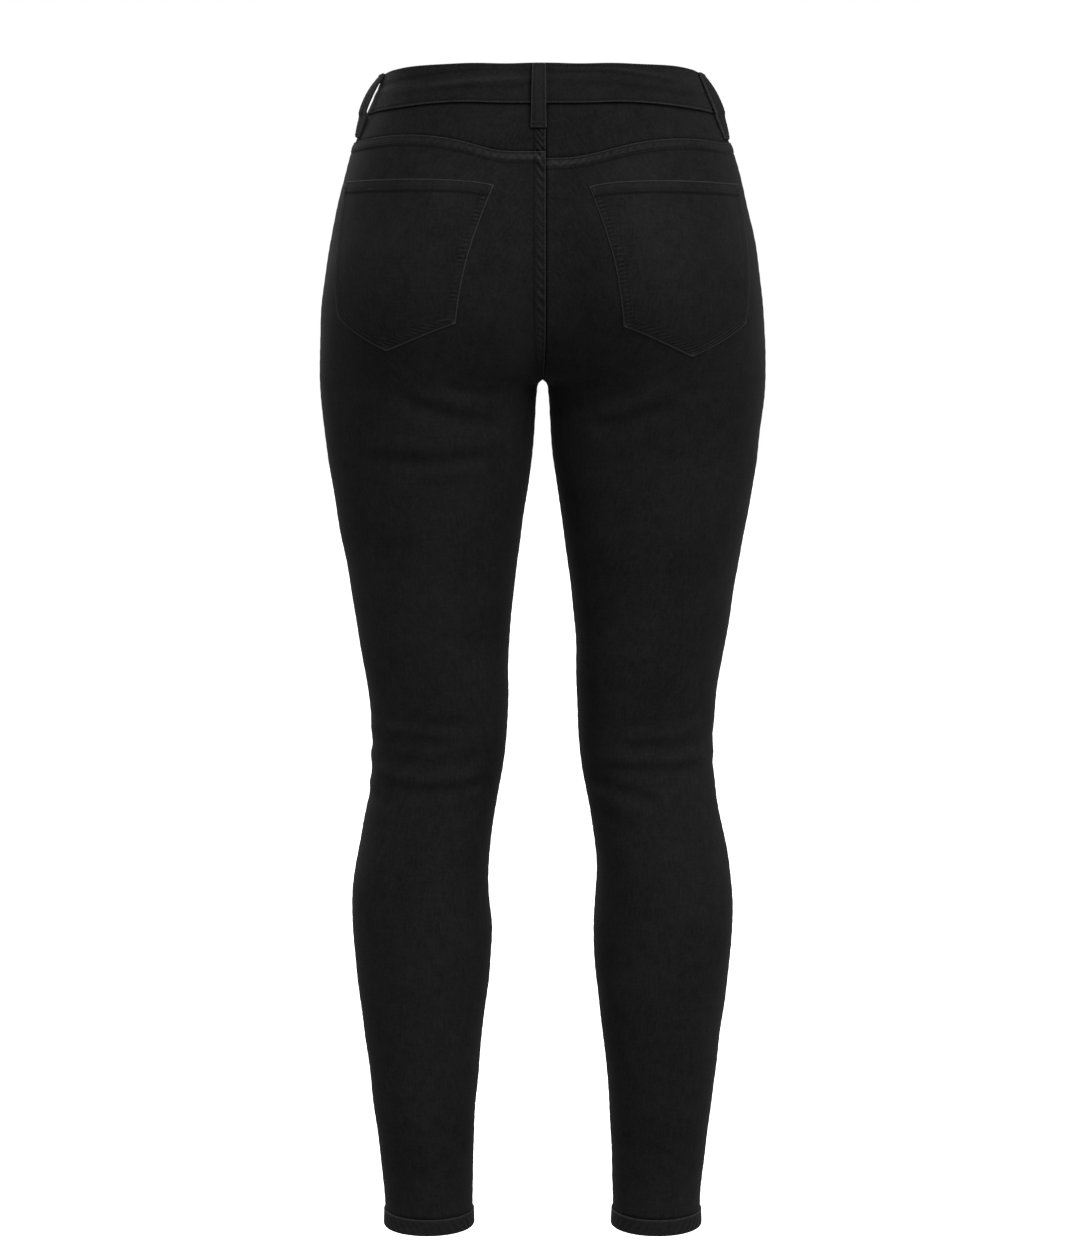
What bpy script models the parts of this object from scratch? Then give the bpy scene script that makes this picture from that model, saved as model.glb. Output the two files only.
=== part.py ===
"""Skinny jeans in their worn shape, hollow, as if a general figure were inside.

Metres, +Z up. The front of the garment faces -Y and the wearer's left is +X.
The origin is the centre of the waist opening, half way up the waistband at the
sides, which is where a wearer or a form holds the garment up.

How the cloth is described: each half of the garment is a stack of rings. A ring
is named by the height at which it crosses the outseam, and a place along it by
a girth number: 0 at the inner front edge (inseam, then front rise), 1 at the
outseam, 2 at the inner back edge (inseam, then back rise). Below 0 the girth
goes on round the front of the other half. Every piece is a patch of this
surface with its own range of heights, girths and depths.
"""

import math

import bmesh
import bpy
import numpy as np

# Cloth and seams
CLOTH = 0.0015
SEAM_GAP = 0.0004
LAID_ON_GAP = 0.0008
LAID_UNDER_GAP = 0.0006

# Heights of the seams where they cross the outseam
HEM_TOP = -0.967
CROTCH = -0.239
YOKE_SEAM = -0.038
WAIST_SEAM = -0.016
BAND_TOP = 0.017

# Waistband, whose over end is lifted clear of the under end at the front
BAND_PROUD = 0.0009
BAND_INSIDE = -0.0015
BAND_LIFT = BAND_PROUD - BAND_INSIDE + LAID_UNDER_GAP
BAND_OVER_GIRTHS = (-0.12, -0.06, 0.0, 0.08, 0.16)
BAND_UNDER_GIRTHS = (3.84, 3.92, 4.0, 4.08, 4.16)
BAND_LIFT_ENDS = 0.34
BAND_RINGS = (WAIST_SEAM + SEAM_GAP / 2, -0.005, 0.006, BAND_TOP)

# Hem, which is folded twice: height of each ring and how far it stands proud
HEM_RINGS = (
    (-0.9815, 0.0012),
    (-0.9790, 0.0020),
    (-0.9705, 0.0020),
    (HEM_TOP - SEAM_GAP / 2, 0.0011),
)
HEM_INSIDE = -0.0009

# Front pocket mouth: the arc of an ellipse cut out of the front panel's top corner
MOUTH_DEPTH = 0.070
MOUTH_WIDTH = 0.42
MOUTH_BEND = 0.97

# Fly: where the left front panel starts to lift and then to lap over the right one
FLY_LIFT_STARTS = -0.134
FLY_LAP_STARTS = -0.1185
FLY_LAP_FULL = -0.103
FLY_LAP = 0.035
FLY_LIFT = CLOTH + LAID_UNDER_GAP
FLY_FLAT_GIRTH = 0.05
FLY_RAMP_GIRTH = 0.10

# Fly shield, behind the front panels
SHIELD_RINGS = (-0.1300, -0.1185, -0.1030, -0.0850, -0.0620, -0.0380, -0.0180)
SHIELD_GIRTHS = (-0.18, 0.14)
SHIELD_COLUMNS = 8
SHIELD_GAP = 0.0016

# Shank button on the front of the waistband: radius and stand of each ring of it
BUTTON_HEIGHT = 0.0005
BUTTON_SEGMENTS = 28
BUTTON_PROFILE = (
    (0.0030, 0.0000), (0.0034, 0.0014), (0.0081, 0.0018), (0.0085, 0.0024),
    (0.0080, 0.0034), (0.0062, 0.0038), (0.0056, 0.0033), (0.0030, 0.0036),
)
BUTTON_CROWN = 0.0039

# How far a quarter ring's handles reach towards the next point
ROUNDNESS = 0.56
RISE_HANDLE = 0.40
ARCH = 0.003
SAMPLES_A_QUARTER = 24
HEIGHT_PROBE = 0.0015
GIRTH_PROBE = 0.01
SHARP_EDGE = math.radians(40)

# Rings of the leg: level, each with the inner, outer, front and back reach of one leg
LEG_COLUMNS = ("height", "x_in", "x_out", "y_front", "y_back")
LEG = (
    (-0.9830, 0.0617, 0.1379, -0.0400, 0.0460),
    (-0.9670, 0.0617, 0.1379, -0.0400, 0.0460),
    (-0.9300, 0.0612, 0.1412, -0.0410, 0.0480),
    (-0.8700, 0.0584, 0.1479, -0.0430, 0.0530),
    (-0.8100, 0.0530, 0.1551, -0.0460, 0.0590),
    (-0.7500, 0.0459, 0.1621, -0.0500, 0.0650),
    (-0.7150, 0.0444, 0.1652, -0.0530, 0.0680),
    (-0.6900, 0.0462, 0.1653, -0.0555, 0.0675),
    (-0.6600, 0.0470, 0.1622, -0.0590, 0.0630),
    (-0.6300, 0.0440, 0.1568, -0.0635, 0.0560),
    (-0.6000, 0.0390, 0.1513, -0.0680, 0.0495),
    (-0.5780, 0.0347, 0.1488, -0.0710, 0.0460),
    (-0.5500, 0.0313, 0.1483, -0.0740, 0.0455),
    (-0.5200, 0.0303, 0.1504, -0.0770, 0.0480),
    (-0.4600, 0.0285, 0.1596, -0.0830, 0.0555),
    (-0.4000, 0.0224, 0.1691, -0.0880, 0.0645),
    (-0.3400, 0.0138, 0.1795, -0.0920, 0.0745),
    (-0.3000, 0.0088, 0.1853, -0.0950, 0.0815),
    (-0.2700, 0.0062, 0.1885, -0.0980, 0.0875),
    (-0.2520, 0.0052, 0.1902, -0.1000, 0.0925),
)

# Rings of the rise: the outseam point, the point on the centre front, the front of
# the thigh or belly, the fullest point of the seat with the slope of the ring there,
# the point on the centre back, and how far the ring has turned square to the centre
# seams (0 at the crotch)
RISE_COLUMNS = (
    "height", "x_in", "x_side", "y_side",
    "y_cf", "z_cf", "x_front", "y_front", "z_front",
    "x_back", "y_back", "z_back", "slope", "y_cb", "z_cb", "turn",
)
RISE = (
    (-0.2450, 0.0040, 0.1906, -0.0035, -0.0035, -0.2430, 0.0935, -0.1008, -0.2445,
     0.0950, 0.0950, -0.2440, 0.00, -0.0035, -0.2430, 0.00),
    (-0.2390, 0.0002, 0.1908, -0.0030, -0.0030, -0.2395, 0.0915, -0.1020, -0.2380,
     0.0950, 0.0985, -0.2370, 0.00, -0.0030, -0.2395, 0.00),
    (-0.2270, 0.0002, 0.1908, -0.0025, -0.0240, -0.2360, 0.0880, -0.1040, -0.2275,
     0.0940, 0.1050, -0.2255, 0.00, 0.0260, -0.2355, 0.15),
    (-0.2100, 0.0002, 0.1906, -0.0020, -0.0470, -0.2270, 0.0840, -0.1070, -0.2125,
     0.0920, 0.1150, -0.2080, 0.00, 0.0520, -0.2260, 0.35),
    (-0.1880, 0.0002, 0.1894, -0.0020, -0.0700, -0.2100, 0.0790, -0.1100, -0.1925,
     0.0880, 0.1260, -0.1840, 0.00, 0.0780, -0.2080, 0.60),
    (-0.1630, 0.0002, 0.1870, -0.0015, -0.0890, -0.1840, 0.0720, -0.1125, -0.1685,
     0.0830, 0.1330, -0.1580, 0.00, 0.0990, -0.1810, 0.85),
    (-0.1340, 0.0002, 0.1830, -0.0010, -0.1030, -0.1500, 0.0640, -0.1142, -0.1395,
     0.0780, 0.1325, -0.1280, 0.00, 0.1130, -0.1470, 1.00),
    (-0.1030, 0.0002, 0.1771, 0.0000, -0.1105, -0.1130, 0.0560, -0.1152, -0.1070,
     0.0710, 0.1240, -0.0970, 0.02, 0.1135, -0.1110, 1.00),
    (-0.0720, 0.0002, 0.1696, 0.0010, -0.1122, -0.0800, 0.0490, -0.1146, -0.0755,
     0.0630, 0.1120, -0.0670, 0.06, 0.1065, -0.0790, 1.00),
    (-0.0380, 0.0002, 0.1590, 0.0020, -0.1090, -0.0480, 0.0430, -0.1112, -0.0450,
     0.0560, 0.1010, -0.0415, 0.23, 0.0970, -0.0480, 1.00),
    (-0.0160, 0.0002, 0.1492, 0.0010, -0.1055, -0.0290, 0.0400, -0.1072, -0.0265,
     0.0500, 0.0922, -0.0030, 0.04, 0.0910, -0.0046, 1.00),
    (0.0170, 0.0002, 0.1342, -0.0010, -0.0995, 0.0040, 0.0380, -0.1010, 0.0060,
     0.0460, 0.0833, 0.0262, 0.03, 0.0825, 0.0266, 1.00),
)

# Folds of the wearer's left leg (1) and right leg (-1), on the back (1) or the front
# (-1): x and z of both ends, how far the middle hangs lower, how far the cloth stands
# out (a trough is negative) and the half width
FOLD_COLUMNS = ("leg", "face", "x_a", "z_a", "x_b", "z_b", "bow", "rise", "half_width")
FOLDS = (
    (1, 1, 0.030, -0.252, 0.080, -0.240, 0.003, -0.0022, 0.0075),
    (1, 1, 0.034, -0.274, 0.122, -0.252, 0.003, -0.0034, 0.0080),
    (1, 1, 0.040, -0.259, 0.110, -0.243, 0.002, 0.0020, 0.0080),
    (1, 1, 0.050, -0.301, 0.146, -0.302, 0.004, -0.0026, 0.0070),
    (1, 1, 0.040, -0.289, 0.146, -0.290, 0.002, 0.0018, 0.0075),
    (-1, 1, 0.012, -0.262, 0.076, -0.246, 0.004, -0.0028, 0.0080),
    (-1, 1, 0.044, -0.275, 0.110, -0.256, 0.003, -0.0028, 0.0080),
    (-1, 1, 0.040, -0.262, 0.104, -0.244, 0.002, 0.0018, 0.0080),
    (-1, 1, 0.080, -0.304, 0.136, -0.300, 0.002, -0.0014, 0.0080),
    (1, 1, 0.056, -0.534, 0.146, -0.528, 0.001, -0.0016, 0.0065),
    (1, 1, 0.080, -0.551, 0.146, -0.544, 0.001, -0.0022, 0.0070),
    (1, 1, 0.050, -0.568, 0.146, -0.565, 0.001, -0.0024, 0.0070),
    (1, 1, 0.050, -0.577, 0.146, -0.577, 0.004, 0.0022, 0.0065),
    (1, 1, 0.050, -0.584, 0.138, -0.587, 0.004, -0.0026, 0.0065),
    (-1, 1, 0.070, -0.533, 0.146, -0.526, 0.001, -0.0018, 0.0065),
    (-1, 1, 0.070, -0.554, 0.146, -0.553, 0.000, -0.0024, 0.0070),
    (-1, 1, 0.050, -0.564, 0.146, -0.563, 0.000, 0.0020, 0.0060),
    (-1, 1, 0.050, -0.573, 0.146, -0.572, 0.000, -0.0024, 0.0065),
    (-1, 1, 0.040, -0.582, 0.098, -0.598, 0.002, -0.0030, 0.0075),
    (-1, 1, 0.042, -0.608, 0.078, -0.622, 0.001, -0.0022, 0.0080),
    (1, -1, 0.026, -0.236, 0.104, -0.206, 0.003, -0.0018, 0.0080),
    (1, -1, 0.034, -0.262, 0.118, -0.243, 0.003, -0.0016, 0.0080),
    (-1, -1, 0.024, -0.239, 0.096, -0.212, 0.003, -0.0018, 0.0080),
    (-1, -1, 0.040, -0.258, 0.126, -0.236, 0.002, -0.0016, 0.0080),
    (1, -1, 0.054, -0.604, 0.130, -0.598, 0.003, -0.0016, 0.0070),
    (-1, -1, 0.060, -0.600, 0.134, -0.607, 0.003, -0.0016, 0.0070),
)
FOLD_FADE = 0.18
FOLD_TURN = 0.030

# Back pockets: each corner as its height and its girth, which runs from 1 at the
# outseam to 2 at the centre back
POCKET_COLUMNS = ("side", "mouth_outer", "mouth_inner", "corner_inner", "point", "corner_outer")
POCKETS = (
    ("left", (-0.0715, 1.1525), (-0.0750, 1.8250), (-0.1890, 1.6875), (-0.2110, 1.4550), (-0.1850, 1.2750)),
    ("right", (-0.0735, 1.1750), (-0.0760, 1.8325), (-0.1905, 1.7025), (-0.2155, 1.4675), (-0.1895, 1.2800)),
)
POCKET_TIP_GIRTH = 0.008
POCKET_CORNER = 0.20
POCKET_RINGS = (5, 11)
POCKET_ACROSS = 12

# Belt loops: side of the body, girth of the middle, height of the lower end, bow
# away from the band
LOOP_COLUMNS = ("name", "side", "girth", "bottom", "bow")
LOOPS = (
    ("belt_loop_back", 1, 1.984, -0.0255, 0.0030),
    ("belt_loop_side_left", 1, 1.060, -0.0340, 0.0028),
    ("belt_loop_side_right", -1, 1.110, -0.0340, 0.0024),
    ("belt_loop_front_left", 1, 0.480, -0.0380, 0.0040),
    ("belt_loop_front_right", -1, 0.480, -0.0380, 0.0036),
)
LOOP_WIDTH = 0.0135
LOOP_THICKNESS = 0.0018
# Each ring of a loop: how far up it lies, from its lower end to the band's top, and
# its share of the bow
LOOP_RINGS = (
    (0.00, 0.00), (0.08, 0.10), (0.18, 0.55), (0.38, 0.90),
    (0.58, 1.00), (0.78, 0.72), (0.90, 0.25), (1.00, 0.00),
)

# Ring heights that the panels share, so that their facets meet at the seams
LEG_RINGS = (
    *np.linspace(HEM_TOP, -0.660, 10),
    *np.linspace(-0.640, -0.520, 14),
    *np.linspace(-0.490, -0.340, 6),
    *np.linspace(-0.322, -0.252, 8),
    -0.245,
)
RISE_RINGS = (
    CROTCH, -0.233, -0.227, -0.2185, -0.210, -0.199, -0.188, -0.1755,
    -0.163, -0.1485, FLY_LIFT_STARTS, FLY_LAP_STARTS, FLY_LAP_FULL,
)
MOUTH_RINGS = (
    WAIST_SEAM - MOUTH_DEPTH, -0.0825, -0.0765, -0.067, -0.054,
    YOKE_SEAM, -0.027, WAIST_SEAM,
)
YOKE_RINGS = MOUTH_RINGS[MOUTH_RINGS.index(YOKE_SEAM):]
BACK_UPPER_RINGS = MOUTH_RINGS[: MOUTH_RINGS.index(YOKE_SEAM) + 1]
PANEL_COLUMNS = 11
FACING_COLUMNS = 7

BLACK_DENIM = ("black_denim", (0.0105, 0.0105, 0.0115), 0.82, 0.0)
DARK_METAL = ("dark_metal", (0.060, 0.060, 0.064), 0.38, 0.9)


def clear_scene():
    for leftover in list(bpy.data.objects):
        bpy.data.objects.remove(leftover)


def material(finish):
    name, colour, roughness, metallic = finish
    found = bpy.data.materials.get(name)
    if found:
        return found
    made = bpy.data.materials.new(name)
    made.use_nodes = True
    shader = made.node_tree.nodes["Principled BSDF"]
    shader.inputs["Base Color"].default_value = (*colour, 1.0)
    shader.inputs["Roughness"].default_value = roughness
    shader.inputs["Metallic"].default_value = metallic
    made.diffuse_color = (*colour, 1.0)
    return made


def column(columns, rows, name):
    """One named column of a table as an array."""
    place = columns.index(name)
    return np.array([row[place] for row in rows], float)


def guide_lines():
    """The points that every ring passes, ring by ring: inner front, front, outseam, back, inner back."""
    leg = {name: column(LEG_COLUMNS, LEG, name) for name in LEG_COLUMNS}
    rise = {name: column(RISE_COLUMNS, RISE, name) for name in RISE_COLUMNS}
    leg_x = (leg["x_in"] + leg["x_out"]) / 2
    leg_y = (leg["y_front"] + leg["y_back"]) / 2
    leg_z = leg["height"]
    leg_lines = [
        (leg["x_in"], leg_y, leg_z),
        (leg_x, leg["y_front"], leg_z),
        (leg["x_out"], leg_y, leg_z),
        (leg_x, leg["y_back"], leg_z),
        (leg["x_in"], leg_y, leg_z),
    ]
    rise_lines = [
        (rise["x_in"], rise["y_cf"], rise["z_cf"]),
        (rise["x_front"], rise["y_front"], rise["z_front"]),
        (rise["x_side"], rise["y_side"], rise["height"]),
        (rise["x_back"], rise["y_back"], rise["z_back"]),
        (rise["x_in"], rise["y_cb"], rise["z_cb"]),
    ]
    lines = np.array([
        np.concatenate([np.array(low).T, np.array(high).T])
        for low, high in zip(leg_lines, rise_lines)
    ])
    heights = np.concatenate([leg["height"], rise["height"]])
    turn = np.concatenate([np.zeros(len(LEG)), rise["turn"]])
    slope = np.concatenate([np.zeros(len(LEG)), rise["slope"]])
    return heights, lines, turn, slope


HEIGHTS, LINES, TURN, SLOPE = guide_lines()
CROTCH_RING = int(np.argmin(np.abs(HEIGHTS - CROTCH)))


def smooth(height, knots, values):
    """Cubic Hermite curve through the values, whose slopes are those of the table."""
    slopes = np.gradient(values, knots, axis=0)
    place = np.clip(np.searchsorted(knots, height) - 1, 0, len(knots) - 2)
    span = knots[place + 1] - knots[place]
    t = (height - knots[place]) / span
    extra = (1,) * (values.ndim - 1)
    t, span = t.reshape(-1, *extra), span.reshape(-1, *extra)
    return (
        values[place] * (2 * t**3 - 3 * t**2 + 1)
        + slopes[place] * span * (t**3 - 2 * t**2 + t)
        + values[place + 1] * (3 * t**2 - 2 * t**3)
        + slopes[place + 1] * span * (t**3 - t**2)
    )


def smooth_with_corner(height, values):
    """The same curve, with a corner at the crotch, where an inseam turns into a rise."""
    low = smooth(height, HEIGHTS[: CROTCH_RING + 1], values[: CROTCH_RING + 1])
    high = smooth(height, HEIGHTS[CROTCH_RING:], values[CROTCH_RING:])
    above = (height > HEIGHTS[CROTCH_RING]).reshape(-1, *(1,) * (values.ndim - 1))
    return np.where(above, high, low)


def bezier(start, handle_a, handle_b, end, t):
    """Cubic Bezier arcs, one a ring: (rings, 3) points and (samples,) parameters give (rings, samples, 3)."""
    t = t[None, :, None]
    start, handle_a, handle_b, end = (p[:, None, :] for p in (start, handle_a, handle_b, end))
    return (
        start * (1 - t) ** 3
        + 3 * handle_a * t * (1 - t) ** 2
        + 3 * handle_b * t**2 * (1 - t)
        + end * t**3
    )


def rings(height):
    """Each ring as samples from girth 0 to girth 2: four quarter arcs between its five guide points."""
    inner_front = smooth_with_corner(height, LINES[0])
    front = smooth(height, HEIGHTS, LINES[1])
    side = smooth(height, HEIGHTS, LINES[2])
    back = smooth(height, HEIGHTS, LINES[3])
    inner_back = smooth_with_corner(height, LINES[4])
    turn = np.clip(smooth_with_corner(height, TURN), 0, 1)
    slope = smooth(height, HEIGHTS, SLOPE)
    arch = ARCH * np.clip((height - LEG[-1][0]) / (CROTCH - LEG[-1][0]), 0, 1)

    def inner_handle(inner, extreme):
        reach = extreme - inner
        handle = inner.copy()
        handle[:, 0] += arch + turn * RISE_HANDLE * reach[:, 0]
        handle[:, 1] += (1 - turn) * ROUNDNESS * reach[:, 1]
        return handle

    def along_x(point, towards, slope=0.0):
        handle = point.copy()
        handle[:, 0] += ROUNDNESS * (towards[:, 0] - point[:, 0])
        handle[:, 2] += ROUNDNESS * (towards[:, 0] - point[:, 0]) * slope
        return handle

    def along_y(point, towards):
        handle = point.copy()
        handle[:, 1] += ROUNDNESS * (towards[:, 1] - point[:, 1])
        return handle

    t = np.linspace(0, 1, SAMPLES_A_QUARTER + 1)
    quarters = [
        bezier(inner_front, inner_handle(inner_front, front), along_x(front, inner_front), front, t),
        bezier(front, along_x(front, side), along_y(side, front), side, t),
        bezier(side, along_y(side, back), along_x(back, side, slope), back, t),
        bezier(back, along_x(back, inner_back, slope), inner_handle(inner_back, back), inner_back, t),
    ]
    return np.concatenate([quarters[0], *(quarter[:, 1:] for quarter in quarters[1:])], axis=1)


def read_rings(samples, girth):
    """Points at given girths, which are shares of the real length of each front and back half."""
    middle = 2 * SAMPLES_A_QUARTER
    steps = np.linalg.norm(np.diff(samples, axis=1), axis=2)
    points = np.empty((*girth.shape, 3))
    for ring, (line, step) in enumerate(zip(samples, steps)):
        along = np.concatenate([[0], np.cumsum(step)])
        share = np.where(
            along <= along[middle],
            along / along[middle],
            1 + (along - along[middle]) / (along[-1] - along[middle]),
        )
        for axis in range(3):
            points[ring, :, axis] = np.interp(girth[ring], share, line[:, axis])
    return points


def own_girth(height, girth):
    """Girths brought to 0..2, and -1 where the point lies on the other half of the garment.

    A leg ring closes on itself. A rise ring goes on round the other half.
    """
    in_leg = (height < CROTCH)[:, None]
    around = girth % 4
    other = ~in_leg & (around > 2)
    own = np.where(in_leg & ((girth < 0) | (girth > 2)), girth % 2, np.where(other, 4 - around, around))
    return own, np.where(other, -1.0, 1.0)


def plain_points(height, girth):
    """The unfolded outer face: heights (rings,) and girths (rings, columns) give (rings, columns, 3)."""
    own, sign = own_girth(height, girth)
    points = read_rings(rings(height), own)
    points[..., 0] *= sign
    return points


def plain_cloth(height, girth):
    """Points and outward unit normals of the unfolded outer face."""
    own, sign = own_girth(height, girth)
    in_rise = (height + HEIGHT_PROBE > CROTCH)[:, None]
    low = np.where(in_rise, np.maximum(own - GIRTH_PROBE, 0.0), own - GIRTH_PROBE)
    high = np.where(in_rise, np.minimum(own + GIRTH_PROBE, 2.0), own + GIRTH_PROBE)
    below = np.maximum(height - HEIGHT_PROBE, HEIGHTS[0])
    above = np.minimum(height + HEIGHT_PROBE, HEIGHTS[-1])
    across = plain_points(height, high) - plain_points(height, low)
    up = plain_points(above, own) - plain_points(below, own)
    normals = np.cross(across, up)
    normals /= np.linalg.norm(normals, axis=2, keepdims=True)
    points = plain_points(height, own)
    points[..., 0] *= sign
    normals[..., 0] *= sign
    return points, normals


def fold_rise(points):
    """How far the folds lift each point: a soft bump across each fold's line, fading at its ends."""
    rise = np.zeros(points.shape[:2])
    for row in FOLDS:
        fold = dict(zip(FOLD_COLUMNS, row))
        along = (points[..., 0] * fold["leg"] - fold["x_a"]) / (fold["x_b"] - fold["x_a"])
        line = fold["z_a"] + along * (fold["z_b"] - fold["z_a"])
        line = line - fold["bow"] * 4 * along * (1 - along)
        across = (points[..., 2] - line) / fold["half_width"]
        ends = np.clip(along / FOLD_FADE + 0.5, 0, 1) * np.clip((1 - along) / FOLD_FADE + 0.5, 0, 1)
        on_face = np.clip(points[..., 1] * fold["face"] / FOLD_TURN + 0.5, 0, 1)
        rise += fold["rise"] * np.exp(-(across**2)) * ends * on_face
    return rise


def cloth(height, girth, depth, side=1):
    """Points of one layer: the folded face moved out by a depth, for the left (1) or right (-1) half."""
    height = np.asarray(height, float)
    girth = np.broadcast_to(girth, (len(height), np.shape(girth)[-1])).astype(float)
    points, normals = plain_cloth(height, girth)
    mirror = np.array([side, 1.0, 1.0])
    rise = fold_rise(points * mirror)
    moved = points + normals * (rise + depth)[..., None]
    keeps_left = (girth >= 0) & (girth <= 2)
    moved[..., 0] = np.where(keeps_left, np.maximum(moved[..., 0], SEAM_GAP / 2), moved[..., 0])
    return moved * mirror


def solid_from_layers(name, outer, inner, finish, closed=False):
    """A closed wall between two grids that match. A closed grid joins its last column to its first."""
    rows, columns = outer.shape[:2]
    points = np.concatenate([outer.reshape(-1, 3), inner.reshape(-1, 3)])
    under = rows * columns
    last = columns if closed else columns - 1
    top = (rows - 1) * columns
    faces = []
    for c in range(last):
        d = (c + 1) % columns
        for r in range(rows - 1):
            a, b = r * columns + c, r * columns + d
            e, f = b + columns, a + columns
            faces.append((a, b, e, f))
            faces.append((under + a, under + f, under + e, under + b))
        faces.append((d, c, under + c, under + d))
        faces.append((top + c, top + d, under + top + d, under + top + c))
    if not closed:
        for r in range(rows - 1):
            a, b = r * columns, (r + 1) * columns
            faces.append((a, b, under + b, under + a))
            a, b = a + columns - 1, b + columns - 1
            faces.append((b, a, under + a, under + b))
    return solid_from_faces(name, points, faces, finish)


def solid_from_faces(name, points, faces, finish):
    """One named object with its faces turned outwards."""
    mesh = bpy.data.meshes.new(name)
    mesh.from_pydata([tuple(p) for p in points], [], faces)
    shape = bmesh.new()
    shape.from_mesh(mesh)
    bmesh.ops.recalc_face_normals(shape, faces=shape.faces)
    shape.to_mesh(mesh)
    shape.free()
    mesh.shade_smooth()
    mesh.set_sharp_from_angle(angle=SHARP_EDGE)
    mesh.materials.append(material(finish))
    made = bpy.data.objects.new(name, mesh)
    bpy.context.scene.collection.objects.link(made)
    return made


def patch(name, height, girth, outer, inner, side, finish=None):
    """A wall over one patch of the cloth, between two depths. The halves mirror each other, facets too."""
    outer, inner = (cloth(height, girth, depth, side)[:, ::side] for depth in (outer, inner))
    return solid_from_layers(name, outer, inner, finish or BLACK_DENIM)


def between(first, last, columns):
    """Girths (rings, columns + 1) spread evenly between two edges."""
    share = np.linspace(0, 1, columns + 1)
    first, last = np.atleast_1d(first), np.atleast_1d(last)
    return first[:, None] + (last - first)[:, None] * share


def seam_share(height, first):
    """Half a seam gap as a share of the front or back half of each ring, which starts at the given girth."""
    samples = plain_points(height, between(np.full(len(height), first), first + 1.0, 2 * SAMPLES_A_QUARTER))
    length = np.linalg.norm(np.diff(samples, axis=1), axis=2).sum(axis=1)
    return SEAM_GAP / 2 / length


def with_seam_gaps(*height):
    """The ring heights in one array, with its first and last ring moved in by half a gap."""
    height = np.array(height, float)
    height[0] += SEAM_GAP / 2
    height[-1] -= SEAM_GAP / 2
    return height


def mouth_girth(height):
    """The girth of the front pocket's edge: 1 below the mouth, and less up the mouth's curve."""
    drop = np.clip((WAIST_SEAM - height) / MOUTH_DEPTH, 0, 1) * MOUTH_BEND
    lowest = math.sqrt(1 - MOUTH_BEND**2)
    return 1 - MOUTH_WIDTH * (np.sqrt(1 - drop**2) - lowest) / (1 - lowest)


def ramp(value, start, end):
    return np.clip((value - start) / (end - start), 0, 1)


def front_panel(side, label):
    """From the hem to the waistband, cut away at the top outer corner. The left one laps over at the fly."""
    height = with_seam_gaps(*LEG_RINGS, *RISE_RINGS, *MOUTH_RINGS)
    share = seam_share(height, 0.0)
    lap = ramp(height, FLY_LAP_STARTS, FLY_LAP_FULL) if side > 0 else 0 * height
    girth = between(share - lap * (FLY_LAP + share), mouth_girth(height) - share, PANEL_COLUMNS)
    near_centre = ramp(girth, FLY_FLAT_GIRTH + FLY_RAMP_GIRTH, FLY_FLAT_GIRTH)
    lift = FLY_LIFT * near_centre * ramp(height, FLY_LIFT_STARTS, FLY_LAP_STARTS)[:, None]
    lift = lift if side > 0 else 0 * lift
    return patch(f"front_panel_{label}", height, girth, lift, lift - CLOTH, side)


def back_panel(side, label):
    """From the hem to the yoke seam."""
    height = with_seam_gaps(*LEG_RINGS, *RISE_RINGS, *BACK_UPPER_RINGS)
    share = seam_share(height, 1.0)
    girth = between(1 + share, 2 - share, PANEL_COLUMNS)
    return patch(f"back_panel_{label}", height, girth, 0.0, -CLOTH, side)


def yoke(side, label):
    """The shaped piece between the back panel and the waistband."""
    height = with_seam_gaps(*YOKE_RINGS)
    share = seam_share(height, 1.0)
    girth = between(1 + share, 2 - share, PANEL_COLUMNS)
    return patch(f"yoke_{label}", height, girth, 0.0, -CLOTH, side)


def pocket_facing(side, label):
    """The piece seen inside the front pocket's mouth. It runs under the front panel and past the outseam."""
    height = with_seam_gaps(RISE_RINGS[-1], *MOUTH_RINGS)
    edge = mouth_girth(height)
    under_front = edge * (PANEL_COLUMNS - 1) / PANEL_COLUMNS
    girth = np.column_stack([under_front, between(edge, 1 + 1 / PANEL_COLUMNS + 0 * edge, FACING_COLUMNS)])
    top = -CLOTH - LAID_UNDER_GAP
    return patch(f"pocket_facing_{label}", height, girth, top, top - CLOTH, side)


def back_pocket(row):
    """A five-cornered patch pocket that lies on the back panel: a grid from its point up to its mouth."""
    pocket = dict(zip(POCKET_COLUMNS, row))
    point = np.array(pocket["point"])
    tip = np.array([0.0, POCKET_TIP_GIRTH])
    lower, upper = POCKET_RINGS
    up = np.concatenate([
        np.linspace(0, POCKET_CORNER, lower, endpoint=False), np.linspace(POCKET_CORNER, 1, upper),
    ])
    outer = (point - tip, pocket["corner_outer"], pocket["mouth_outer"])
    inner = (point + tip, pocket["corner_inner"], pocket["mouth_inner"])
    height, girth = (
        between(
            np.interp(up, (0, POCKET_CORNER, 1), [corner[axis] for corner in outer]),
            np.interp(up, (0, POCKET_CORNER, 1), [corner[axis] for corner in inner]),
            POCKET_ACROSS,
        )
        for axis in (0, 1)
    )
    side = 1 if pocket["side"] == "left" else -1
    layers = (
        cloth(height.ravel(), girth.reshape(-1, 1), depth, side).reshape(*height.shape, 3)[:, ::side]
        for depth in (LAID_ON_GAP + CLOTH, LAID_ON_GAP)
    )
    return solid_from_layers(f"back_pocket_{pocket['side']}", *layers, BLACK_DENIM)


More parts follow.
